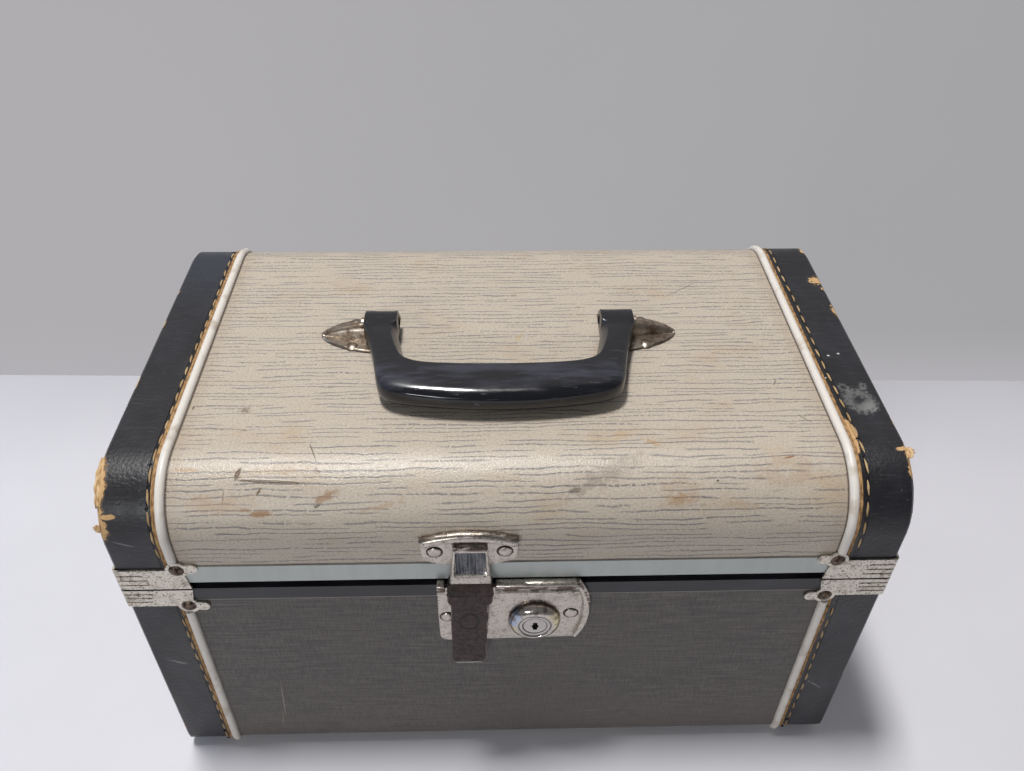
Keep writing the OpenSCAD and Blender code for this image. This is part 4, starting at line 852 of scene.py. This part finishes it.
HOOD_ROWS = (
    (160.4, 1.0, 6.9, -16.6, 0.0, 0.0), (160.3, 1.8, 7.0, -16.6, 0.8, 0.0), (159.7, 2.9, 7.1, -16.6, 1.8, 0.0),
    (158.8, 3.5, 7.2, -16.6, 2.4, 0.0), (157.9, 3.7, 7.2, -16.6, 2.7, 0.0), (157.0, 3.6, 7.2, -16.6, 2.7, 0.0),
    (156.5, 3.7, 7.2, -16.6, 2.8, 0.7), (156.0, 3.9, 7.25, -16.6, 3.0, 1.3), (153.5, 4.4, 7.4, -16.65, 3.5, 1.6),
    (151.0, 4.8, 7.6, -16.7, 3.9, 1.6), (148.5, 5.2, 7.8, -16.7, 4.3, 1.5), (146.2, 5.6, 8.0, -16.7, 4.7, 1.3),
    (145.4, 5.8, 8.1, -16.7, 4.8, 0.9), (144.8, 5.9, 8.3, -16.7, 4.9, 0.1), (144.0, 6.2, 8.5, -16.7, 5.2, 0.0),
    (142.4, 6.4, 8.7, -16.7, 5.3, 0.0), (140.8, 6.4, 8.75, -16.7, 5.2, 0.0), (140.1, 6.2, 8.7, -16.7, 4.8, 0.0),
    (139.6, 5.5, 8.8, -16.8, 4.2, 0.0), (138.9, 5.7, 9.3, -16.9, 4.0, 0.0), (137.9, 6.2, 9.6, -17.0, 4.0, 0.0),
    (136.4, 6.8, 9.7, -17.1, 4.0, 0.0), (134.2, 7.1, 9.75, -17.1, 3.6, 0.0), (133.3, 7.1, 9.75, -17.1, 2.4, 0.0),
    (133.1, 6.6, 9.6, -17.1, 1.4, 0.0), (133.4, 5.4, 9.4, -17.1, 0.6, 0.0), (134.0, 5.0, 9.2, -17.1, 0.0, 0.0))
HOOD_ACROSS = (
    (-1.0, 1.0, 0), (-1.0, 0.5, 0), (-1.0, 0.2, 0), (-0.98, 0.06, 0), (-0.94, 0.0, 0), (-0.87, 0.0, 0),
    (-0.82, 0.0, 0.8), (-0.76, 0.0, 1.0), (-0.4, 0.0, 1.0))
hood = shell(HOOD_ROWS, both_sides(HOOD_ACROSS, (0.0, 0.0, 1.0)), 0.8)
catch = joined(catch, formed(16, len(BEAD) - 1, bead_place), hood)

CATCH_RIVETS = ((-31.4, 155.0), (-2.3, 155.0))
LOCK_RIVETS = ((27.2, 111.6), (-27.6, 110.2))
fittings = Finish("worn_nickel_fittings", (200, 192, 182), 0.26, 1.0)
f_blotch = fittings.noise(3.4, 5.0, rough=0.65)
f_pits = fittings.ramp(fittings.noise(0.8, 3.0), 0.61, 0.68)
fittings.set("Base Color", fittings.mix(fittings.ramp(f_blotch, 0.52, 0.74) * 0.7, (194, 186, 176), (122, 103, 87)))
# The hood's hollow is darker grey, with streaks.
streak = fittings.noise((0.7, 30.0, 9.0), 3.0)
hollow = (fittings.ramp(abs(fittings.x + 16.7), 6.6, 5.9) * fittings.ramp(fittings.z, 144.7, 145.6)
          * fittings.ramp(fittings.z, 157.4, 156.4))
fittings.lay(hollow, fittings.mix(fittings.ramp(streak, 0.35, 0.7), (78, 81, 88), (130, 128, 130)))
# Brown tarnish lies on the bead's top, along the lock's channel and on the hood's shoulder.
arc = fittings.away(ARCH_X, ARCH_Z)
brown = fittings.most(fittings.ramp(arc, 56.4, 57.3) * 0.8,
                      fittings.ramp(arc, 53.4, 53.0) * fittings.ramp(arc, 52.0, 52.5))
shoulder = fittings.ramp(fittings.z, 157.6, 158.4) * fittings.ramp(abs(fittings.x + 16.7), 7.4, 7.2)
brown = fittings.most(brown, shoulder * fittings.ramp(fittings.z, 160.6, 159.8))
channel = fittings.ramp(abs(fittings.z - 133.1), 1.9, 1.6) * fittings.ramp(fittings.y, FRONT - 2.0, FRONT - 2.6)
brown = fittings.most(brown, channel)
worn = fittings.ramp(fittings.noise((5.0, 1.2, 1.2), 4.0), 0.36, 0.52)
fittings.lay(brown * worn * 0.85, (84, 66, 54))
# Painted shade: a dark ring round the foot of each rivet head.
for x, z in CATCH_RIVETS + LOCK_RIVETS:
    far = fittings.away(x, z - 0.15)
    ring = fittings.ramp(far, 2.75, 2.95) * fittings.ramp(far, 3.7, 3.4)
    fittings.lay(ring * 0.9, (36, 30, 27))
# The skirt: dark rust, painted also as the shade under the hood's lip.
skirt = (fittings.ramp(fittings.z, 139.75, 139.45) * fittings.ramp(fittings.z, 133.0, 133.4)
         * fittings.ramp(abs(fittings.x + 17.0), 10.2, 10.0))
f_rust = fittings.noise(2.6, 6.0, rough=0.7)
fittings.lay(skirt, fittings.mix(fittings.ramp(f_rust, 0.34, 0.66), (40, 32, 31), (74, 60, 56)))
fittings.lay(f_pits * 0.75, (46, 38, 33))
fittings.set("Metallic", fittings.ramp(skirt, 0.0, 1.0, 1.0, 0.55))
fittings.set("Roughness", fittings.most(fittings.ramp(f_blotch, 0.3, 0.7, 0.2, 0.42),
                                        fittings.most(hollow * 0.45, skirt * 0.5)))
fittings.bump(f_pits, -0.08)
fittings.bump(fittings.noise(5.0, 2.0), 0.12)
fitted(catch, "catch_pressing", fittings, "lid", "nickel", "catch_plate")

RIVET = ((0.0, 1.9), (1.2, 1.88), (2.1, 1.8), (2.6, 1.62), (2.85, 1.3), (2.85, 0.6), (0.0, 0.6))
fitted(joined(*(turned(x, z, RIVET, 32) for x, z in CATCH_RIVETS)), "catch_rivet_heads", fittings, "lid", "nickel",
       "catch_rivets")

# ---- The lock plate ----
# A nickel plate on the base's front, with a rolled double bead along its top, two lugs that hold the
# lever's pin, and a raised border at its rounded right end. Two flat rivets hold it.

LOCK_OUTLINE = (
    (-31.5, 131.0), (-31.7, 111.0), (-31.5, 96.2), (-30.9, 94.0), (-29.6, 92.6), (-27.4, 92.1), (3.0, 92.7),
    (29.6, 93.4), (31.2, 96.0), (33.1, 100.2), (34.8, 106.0), (35.5, 112.0), (35.6, 118.0), (34.6, 125.6),
    (32.4, 131.0), (-12.4, 131.0), (-12.4, 122.3), (-21.8, 122.3), (-21.8, 131.0))
lock = pressing(LOCK_OUTLINE, -0.2, 1.3, 0.3)
LIP = ((0.4, 135.8), (2.2, 136.2), (3.6, 135.9), (4.2, 135.2), (4.2, 134.6), (3.7, 134.2), (3.5, 133.4), (3.5, 132.4),
       (3.8, 131.5), (4.5, 130.9), (4.5, 130.1), (3.7, 129.5), (2.2, 129.3), (0.9, 129.2), (0.2, 130.5), (0.2, 134.5))
LUG = ((0.9, 126.8), (3.5, 127.6), (5.3, 128.6), (6.1, 129.4), (6.1, 130.2), (5.3, 131.0), (3.5, 131.6), (0.9, 131.8))


def bar(outline, start, end):
    """A bar along x between two ends, with an outline of heights and z and with softened ends."""
    middle = [sum(point[i] for point in outline) / len(outline) for i in (0, 1)]
    ends = ((start, 0.0), (start, 0.86), (start + 0.2, 0.96), (start + 0.45, 1.0),
            (end - 0.45, 1.0), (end - 0.2, 0.96), (end, 0.86), (end, 0.0))

    def place(around, along):
        x, share = ends[round(along * (len(ends) - 1))]
        proud, z = (m + (p - m) * share for m, p in zip(middle, outline[round(around * len(outline)) % len(outline)]))
        return x, FRONT - proud, z
    return formed(len(outline), len(ends) - 1, place)


BORDER = (((30.0, 136.2), (28.2, 133.0)), ((32.4, 131.4), (29.9, 128.6)), ((34.4, 126.4), (31.2, 124.2)),
          ((35.5, 119.0), (32.0, 118.0)), ((35.4, 112.0), (32.0, 112.0)), ((34.7, 106.0), (31.6, 107.0)),
          ((33.0, 100.4), (30.7, 102.0)), ((31.2, 96.4), (29.6, 98.4)), ((29.9, 94.4), (28.9, 96.2)))
BORDER_LIFT = ((0.0, 0.8), (0.0, 2.0), (0.12, 2.5), (0.45, 2.7), (0.8, 2.5), (0.97, 1.9), (1.0, 0.8), (0.5, 0.6))


def border_place(around, along):
    outer, inner = BORDER[round(along * (len(BORDER) - 1))]
    share, proud = BORDER_LIFT[round(around * len(BORDER_LIFT)) % len(BORDER_LIFT)]
    x, z = (a + (b - a) * share for a, b in zip(outer, inner))
    return x, FRONT - proud, z


border = formed(len(BORDER_LIFT), len(BORDER) - 1, border_place)
all_over(bpy.ops.mesh.fill_holes, sides=0)
all_over(bpy.ops.mesh.normals_make_consistent, inside=False)
lock = joined(lock, border, bar(LIP, -31.4, -27.9), bar(LIP, -6.4, 29.8), bar(LUG, -25.0, -23.8),
              bar(LUG, -10.3, -9.1))
fitted(lock, "lock_pressing", fittings, "base", "nickel", "lock_plate")
fitted(joined(*(turned(x, z, RIVET, 32) for x, z in LOCK_RIVETS)), "lock_rivet_heads", fittings, "base", "nickel",
       "lock_rivets")

# ---- Lock bezel and key plug ----
# A turned bezel with a stepped rim, chromed and pressed into the lock plate.
# The plug in it turns with the key, and its face is pierced for the key.


def cut_through(piece, tool):
    """Take a tool's shape out of a piece, and put the tool away."""
    ready()
    cut = piece.modifiers.new("cut", "BOOLEAN")
    cut.object, cut.solver = tool, "EXACT"
    bpy.context.view_layer.objects.active = piece
    piece.select_set(True)
    apply_all(piece)
    bpy.data.objects.remove(tool)


LOCK_X, LOCK_Z = 11.1, 107.8
chrome = Finish("worn_chrome", (222, 220, 222), 0.16, 1.0)
turn = chrome.sum("ARCTAN2", chrome.z - LOCK_Z, chrome.x - LOCK_X)
far = chrome.away(LOCK_X, LOCK_Z)
spin = chrome.pattern("CombineXYZ", turn * 10.0, far * 0.6, 0.0)
stained = chrome.ramp(chrome.noise((3.2, 2.0, 1.0), 3.0, place=spin), 0.48, 0.66)
dome = chrome.ramp(far, 8.2, 8.8)
# Painted reflections: yellow to the right, blue to the left and bright at the top of the dome.
painted_reflections = chrome.mix(chrome.ramp(turn, 0.4, 2.6), (212, 200, 158), (160, 178, 204))
painted_reflections = chrome.mix(chrome.ramp(abs(turn - 1.57), 0.9, 0.5), painted_reflections, (232, 222, 212))
chrome.set("Base Color", chrome.mix(dome * 0.75, (186, 181, 176), painted_reflections))
chrome.lay(stained * (dome * 0.6 + 0.12), (112, 88, 72))
# Painted shade where the bezel meets the plate.
chrome.lay(chrome.ramp(far, 11.5, 11.75, 0.0, 0.8), (60, 48, 40))
groove = chrome.ramp(far, 6.7, 6.95) * chrome.ramp(far, 7.5, 7.25)
chrome.lay(groove * 0.75, (66, 60, 56))
specks = chrome.ramp(chrome.noise(0.7, 2.0), 0.66, 0.72)
# Painted shade: black down inside the keyway.
painted_keyhole_shade = chrome.ramp(chrome.y, FRONT - 5.2, FRONT - 5.05) * chrome.ramp(far, 3.4, 3.3)
chrome.lay(specks, (120, 110, 100))
chrome.lay(painted_keyhole_shade, (7, 7, 8))
chrome.set("Metallic", chrome.ramp(painted_keyhole_shade, 0.0, 1.0, 1.0, 0.0))
chrome.set("Roughness", chrome.most(chrome.ramp(chrome.noise(2.0, 4.0), 0.4, 0.8, 0.12, 0.3), painted_keyhole_shade))
chrome.bump(chrome.noise((3.2, 2.0, 1.0), 3.0, place=spin), 0.1)
BEZEL_PROFILE = (
    (5.6, 0.9), (11.75, 0.9), (11.75, 2.0), (11.55, 2.9), (11.1, 3.8), (10.4, 4.6), (9.6, 5.2), (8.8, 5.65),
    (8.3, 5.8), (7.9, 5.85), (7.6, 5.7), (7.4, 5.4), (7.0, 5.25), (6.75, 5.4), (6.5, 5.5), (6.0, 5.5), (5.6, 5.3),
    (5.6, 0.9))
bezel = turned(LOCK_X, LOCK_Z, BEZEL_PROFILE, 72)
fitted(bezel, "lock_bezel_turning", chrome, "base", "chrome", "lock_bezel")
PLUG_PROFILE = ((0.0, 5.42), (2.6, 5.4), (4.6, 5.35), (5.2, 5.2), (5.4, 4.9), (5.4, -1.6), (0.0, -1.6))
plug = turned(11.2, LOCK_Z, PLUG_PROFILE)
ready()
bpy.ops.mesh.primitive_cylinder_add(vertices=48, radius=1, depth=0.004, location=(0.0112, -0.1050, 0.1078),
                                    rotation=(math.pi / 2, 0, 0))
keyway = bpy.context.object
for corner in keyway.data.vertices:
    out = corner.co.xy.normalized()
    reach = max(1.55, min(2.6 / max(abs(out.y), 0.01), 0.95 / max(abs(out.x), 0.01)))
    corner.co.x, corner.co.y = out.x * reach / 1000, out.y * reach / 1000
cut_through(plug, keyway)
fitted(plug, "key_plug_turning", chrome, "key", "chrome", "key_plug")

# ---- The lever ----
# A steel lever that hangs on a pin between two lugs of the lock plate. Its claw hooks over the foot of the
# hood's skirt, its edges are folded back for stiffness, and it's brown with rust where it isn't rubbed.

CLAW_ROWS = tuple((z, proud, half, -17.0, 0.0, 0.0) for z, proud, half in (
    (131.9, 6.3, 3.3), (132.5, 5.8, 3.3), (133.1, 4.6, 3.3), (133.7, 3.9, 3.3), (134.3, 3.8, 3.3), (134.7, 4.4, 3.3),
    (134.7, 5.2, 3.2), (134.3, 5.8, 3.0)))
LEVER_ROWS = (
    (132.7, 6.3, 9.4, -17.1, 1.0, 0.0), (133.0, 6.8, 9.6, -17.1, 2.0, 0.0), (132.6, 7.2, 9.75, -17.1, 3.4, 0.0),
    (131.0, 7.3, 9.75, -17.15, 4.0, 0.0), (128.6, 7.35, 9.7, -17.2, 4.0, 0.0), (127.6, 7.4, 9.3, -17.2, 3.2, 0.0),
    (126.9, 7.4, 8.5, -17.25, 2.0, 0.0), (126.1, 7.4, 8.2, -17.3, 1.6, 0.0), (122.0, 7.45, 8.15, -17.4, 1.4, -0.15),
    (118.0, 7.5, 8.1, -17.5, 1.3, -0.4), (114.0, 7.5, 8.1, -17.65, 1.3, -0.4), (110.0, 7.55, 8.1, -17.8, 1.3, -0.12),
    (106.0, 7.6, 8.05, -17.9, 1.3, 0.0), (105.0, 7.65, 7.8, -17.95, 1.3, 0.0), (100.0, 7.85, 7.8, -18.1, 1.3, 0.0),
    (94.0, 8.1, 7.8, -18.3, 1.3, 0.0), (88.6, 8.45, 7.8, -18.45, 1.3, 0.0), (87.9, 8.5, 7.6, -18.5, 1.3, 0.0),
    (85.9, 8.65, 6.3, -18.6, 1.3, 0.0), (85.2, 8.5, 6.1, -18.6, 1.0, 0.0), (84.9, 8.0, 6.0, -18.6, 0.4, 0.0))
LEVER_ACROSS = (
    (-1.0, 1.0, 0), (-1.0, 0.5, 0), (-0.99, 0.15, 0), (-0.95, 0.0, 0), (-0.6, 0.0, 0.2), (-0.3, 0.0, 0.8))
lever_steel = Finish("rusted_lever_steel", (58, 47, 44), 0.5, 0.6)
middle = (137.0 - lever_steel.z) * -0.03 - 17.1
aside = abs(lever_steel.x - middle)
wide = lever_steel.pattern("MapRange", lever_steel.z, 126.6, 127.8, 8.05, 9.6)
rubbed_edge = lever_steel.ramp(wide - aside, 0.75, 0.25)
rubbed_edge = rubbed_edge * lever_steel.ramp(lever_steel.noise((2.0, 2.0, 5.0), 4.0), 0.4, 0.55)
rubbed_foot = lever_steel.ramp(lever_steel.z, 86.0, 85.6)
rust = lever_steel.noise(2.6, 6.0, rough=0.7)
lever_steel.set("Base Color", lever_steel.mix(lever_steel.ramp(rust, 0.34, 0.66), (40, 32, 31), (74, 60, 56)))
lever_steel.lay(lever_steel.ramp(lever_steel.noise(0.7, 3.0), 0.62, 0.7, 0.0, 0.5), (132, 116, 104))
off_z = (lever_steel.z - 116.0) * 0.75
boss = lever_steel.sum("SQRT", aside * aside + off_z * off_z)
ring = lever_steel.ramp(boss, 3.0, 3.6) * lever_steel.ramp(boss, 5.2, 4.4)
lever_steel.lay(ring * lever_steel.ramp(rust, 0.4, 0.6, 0.2, 0.8), (28, 23, 23))
rubbed = lever_steel.most(rubbed_edge, rubbed_foot)
lever_steel.lay(rubbed, lever_steel.mix(rubbed_foot, (128, 116, 108), (214, 208, 200)))
lever_steel.set("Metallic", lever_steel.ramp(rubbed, 0.0, 1.0, 0.55, 1.0))
lever_steel.set("Roughness", lever_steel.ramp(rubbed, 0.0, 1.0, 0.5, 0.25))
lever_steel.bump(rust, 0.25)
lever_steel.bump(ring, -0.2)
lever = shell(LEVER_ROWS, both_sides(LEVER_ACROSS, (0.0, 0.0, 1.0)), 0.9)
claw = shell(CLAW_ROWS, tuple((share / 4, 0.0, 0) for share in range(-4, 5)), 0.8)
fitted(joined(lever, claw), "lever_pressing", lever_steel, "lever", "lever", "latch_lever")

# ---- The handle ----
# One moulding of glossy blue-black plastic: two lugs bored for the brackets' pins, and arms that sweep
# round into a broad grip with a crowned top, a crisp front edge and a rounded underside.

PIN_HEIGHT = 195.5
HANDLE_MIDDLE = Vector((-3.0, 4.0, PIN_HEIGHT)) / 1000
# Each station of the right half: the inner and the outer edge in plan, where the ridge lies between
# them (0 to 1), and the heights of the ridge, the crown, the front edge, the lip and the underside.
HANDLE_STATIONS = (
    ((0.0, -38.0), (0.0, -61.5), 0.07, (7.2, 8.3, 4.8, -1.2, -6.0)),
    ((18.0, -37.6), (18.0, -60.7), 0.07, (7.2, 8.3, 4.8, -1.2, -6.0)),
    ((30.0, -36.9), (34.0, -58.6), 0.07, (7.2, 8.2, 5.0, -1.4, -6.0)),
    ((36.5, -35.3), (44.5, -56.4), 0.09, (7.2, 8.1, 5.2, -1.8, -6.0)),
    ((40.2, -32.4), (51.0, -53.4), 0.13, (7.2, 7.9, 5.4, -2.4, -5.9)),
    ((42.4, -28.4), (53.7, -48.2), 0.19, (7.1, 7.6, 5.4, -3.0, -5.8)),
    ((43.6, -23.0), (55.0, -40.0), 0.25, (6.9, 7.2, 5.2, -3.4, -5.6)),
    ((44.8, -17.0), (57.0, -29.0), 0.30, (6.6, 6.8, 5.0, -3.6, -5.5)),
    ((46.0, -11.5), (59.8, -17.0), 0.30, (6.1, 6.3, 4.9, -3.8, -5.5)),
    ((46.8, -8.2), (62.2, -9.4), 0.16, (5.4, 5.6, 4.8, -4.2, -5.6)),
    ((47.0, -6.6), (63.0, -6.8), 0.05, (5.6, 5.8, 5.5, -4.8, -5.9)),
    ((47.0, -4.6), (63.0, -4.6), 0.04, (6.0, 6.0, 6.0, -5.2, -6.0)),
    ((47.0, 0.0), (63.0, 0.0), 0.04, (6.0, 6.0, 6.0, -5.2, -6.0)),
    ((47.0, 3.1), (63.0, 3.1), 0.04, (5.1, 5.1, 5.1, -4.3, -5.1)),
    ((47.0, 5.2), (63.0, 5.2), 0.04, (2.9, 2.9, 2.9, -2.1, -2.9)),
    ((47.0, 6.0), (63.0, 6.0), 0.04, (0.9, 0.9, 0.9, -0.5, -0.9)),
)


def handle_section(inner, outer, ridge, heights):
    """The twelve corners of one section of the handle, from the inner face over the top to the underside."""
    top, crown, edge, lip, low = heights
    corners = ((0.0, low * 0.45), (ridge * 0.35, top - (top - low) * 0.3), (ridge, top),
               (ridge + 0.2, (top + crown) / 2), (0.55, crown), (0.86, (crown * 0.72 + edge * 0.28) + 0.2),
               (0.97, edge), (1.0, edge - 1.2), (1.0, lip), (0.82, (lip * 0.25 + low * 0.75)),
               (0.5, low), (0.1, low * 0.95))
    a, b = Vector(inner), Vector(outer)
    return [Vector((*a.lerp(b, share), height)) / 1000 for share, height in corners]


def next_ring(piece, points, before=None):
    """Extrude the selected ring, and set each of its corners at the next section's corner."""
    if before:
        bpy.ops.mesh.extrude_region_move()
    mesh = bmesh.from_edit_mesh(piece.data)
    for step, corner in enumerate([v for v in mesh.verts if v.select]):
        if before:
            step = min(range(len(before)), key=lambda i: (corner.co - before[i]).length)
        corner.co = points[step]
    bmesh.update_edit_mesh(piece.data)
    return points


def crease(piece, line, amount):
    """Sharpen the edges whose two corners both lie on the line."""
    mesh = bmesh.from_edit_mesh(piece.data)
    layer = mesh.edges.layers.float.get("crease_edge") or mesh.edges.layers.float.new("crease_edge")
    for edge in mesh.edges:
        if all(min((v.co - p).length for p in line) < 1e-6 for v in edge.verts):
            edge[layer] = amount
    bmesh.update_edit_mesh(piece.data)


ready()
bpy.ops.mesh.primitive_circle_add(vertices=12, radius=0.01)
grip = bpy.context.object
bpy.ops.object.mode_set(mode="EDIT")
bpy.ops.mesh.select_all(action="SELECT")
before, rings = None, []
for station in HANDLE_STATIONS:
    before = next_ring(grip, handle_section(*station), before)
    rings.append(before)
bpy.ops.mesh.fill_grid(span=2)
crease(grip, [ring[2] for ring in rings[:10]], 0.75)
crease(grip, [ring[6] for ring in rings[:10]], 0.85)
crease(grip, [ring[i] for ring in rings[10:] for i in (0, 1, 2, 6, 7, 8, 9, 11)], 0.5)
bpy.ops.object.mode_set(mode="OBJECT")
mirror = grip.modifiers.new("other half", "MIRROR")
mirror.merge_threshold = 0.0001
rounding = grip.modifiers.new("rounding", "SUBSURF")
rounding.levels = rounding.render_levels = 3
apply_all(grip)
all_over(bpy.ops.mesh.normals_make_consistent, inside=False)
ready()
bpy.ops.mesh.primitive_cylinder_add(vertices=48, radius=0.00326, depth=0.14, rotation=(0, math.pi / 2, 0))
cut_through(grip, bpy.context.object)
grip.location = HANDLE_MIDDLE
plastic = Finish("blue_black_plastic", (18, 19, 26), 0.2, Coat_Weight=0.2, Coat_Roughness=0.08)
scuffs = plastic.noise((26.0, 6.0, 6.0), 6.0, rough=0.6)
top = plastic.ramp(plastic.y, -54.0, -48.0)
sheen = plastic.ramp(scuffs, 0.4, 0.66) * top * plastic.ramp(plastic.y, -33.0, -38.0)
lines = plastic.ramp(plastic.noise((9.0, 0.5, 3.0), 3.0), 0.66, 0.72)
plastic.set("Base Color", plastic.mix(sheen * 0.55, (17, 18, 24), (66, 68, 80)))
plastic.lay(lines * 0.4, (96, 98, 108))
# Painted shade along the grip's underside, where it lies close over the lid.
plastic.lay(plastic.ramp(abs(plastic.z - 189.5), 1.0, 0.4, 0.0, 0.3), (8, 8, 10))
plastic.set("Roughness", plastic.most(top * 0.3, plastic.ramp(scuffs, 0.4, 0.7, 0.12, 0.3)))
plastic.bump(plastic.noise((18.0, 6.0, 6.0), 1.0), 0.2)
plastic.bump(lines, -0.03)
fitted(grip, "handle_moulding", plastic, "handle", "handle", "handle_grip", angle=40)

# ---- The handle brackets ----
# Leaf-shaped nickel pressings riveted to the lid. Each has a half-round ridge that narrows to its tip and
# holds a pin, and a lug of the handle turns on the pin.


def leaf(side, inner, tip):
    """One bracket: a rimmed leaf with a half-round ridge that narrows to its tip, and its pin through the lug."""
    def place(across, along):
        reach = 1 - (1 - along) ** 1.4
        half = max(14.7 * (1 - reach ** 2.2) ** 0.62, 0.02)
        share = 2 * across - 1
        off = share * half
        wide = 6.2 * (1 - 0.8 * reach)
        hump = max(0.0, 1 - (off / wide) ** 2) ** 0.5
        high = 1.2 + 8.4 * max(0.0, 1 - reach ** 1.6) ** 0.8 * hump if hump > 0 else 1.2
        edge = min(1.0, (1 - abs(share)) * half / 0.9)
        return side * (inner + (tip - inner) * reach), 4.0 + off, 188.4 + max(high * min(1.0, edge + 0.35), 0.55)
    plate = formed(56, 28, place)
    thickened(plate, plate.data.polygons[0].normal.z < 0, 0.5)
    ready()
    bpy.ops.mesh.primitive_cylinder_add(vertices=24, radius=0.0028, depth=0.0165, rotation=(0, math.pi / 2, 0),
                                        location=(side * (inner + 8.4) / 1000, 0.004, PIN_HEIGHT / 1000))
    return joined(plate, bpy.context.object)


worn_leaf = Finish("worn_bracket_nickel", (156, 142, 128), 0.36, 1.0)
w_blotch = worn_leaf.noise(4.0, 5.0, rough=0.65)
worn_leaf.set("Base Color", worn_leaf.mix(worn_leaf.ramp(w_blotch, 0.38, 0.68), (176, 164, 150), (104, 86, 72)))
w_pits = worn_leaf.ramp(worn_leaf.noise(0.9, 3.0), 0.62, 0.7)
worn_leaf.lay(w_pits * 0.7, (52, 42, 36))
worn_leaf.set("Roughness", worn_leaf.ramp(w_blotch, 0.3, 0.7, 0.28, 0.5))
worn_leaf.bump(worn_leaf.noise(1.4, 3.0), 0.06)
worn_leaf.dress("bracket_rivets")
fitted(leaf(-1, 51.0, 87.4), "bracket_leaf_left", worn_leaf, "lid", "bracket", "handle_bracket_left")
fitted(leaf(1, 45.0, 81.4), "bracket_leaf_right", worn_leaf, "lid", "bracket", "handle_bracket_right")

# ---- Inside ----
# A moulded plastic tray with compartments lifts out of the base.
# A mirror in a thin metal frame is fixed in the lid.

tray_board = Finish("tray_plastic", (196, 186, 170), 0.45)
tray_powder = tray_board.ramp(tray_board.noise((22.0, 22.0, 6.0), 5.0, rough=0.6), 0.5, 0.75)
tray_board.set("Base Color", tray_board.mix(tray_board.noise(20.0, 3.0), (190, 180, 164), (204, 195, 180)))
tray_board.lay(tray_powder * 0.5, (214, 186, 170))
tray_board.lay(tray_board.ramp(tray_board.noise(1.1, 2.0), 0.7, 0.76, 0.0, 0.5), (120, 98, 84))
tray_board.set("Roughness", tray_board.ramp(tray_powder, 0.0, 1.0, 0.36, 0.6))
tray_board.bump(tray_board.noise(0.6, 2.0), 0.03)
tray_board.bump(tray_board.noise(40.0, 1.0), 0.4)
tray_board.dress("lift_out_tray")
glass = Finish("mirror_glass", (235, 238, 240), 0.02, 1.0)
glass.set("Roughness", glass.ramp(glass.noise(12.0, 4.0), 0.55, 0.8, 0.015, 0.08))
glass.dress("mirror_glass")

# ---- Sizes of the CAD parts and of the finished scene ----
size = {"cad": [list(map(float, corner)) for corner in cad_box],
        "visual": [list(map(float, corner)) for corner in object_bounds()]}
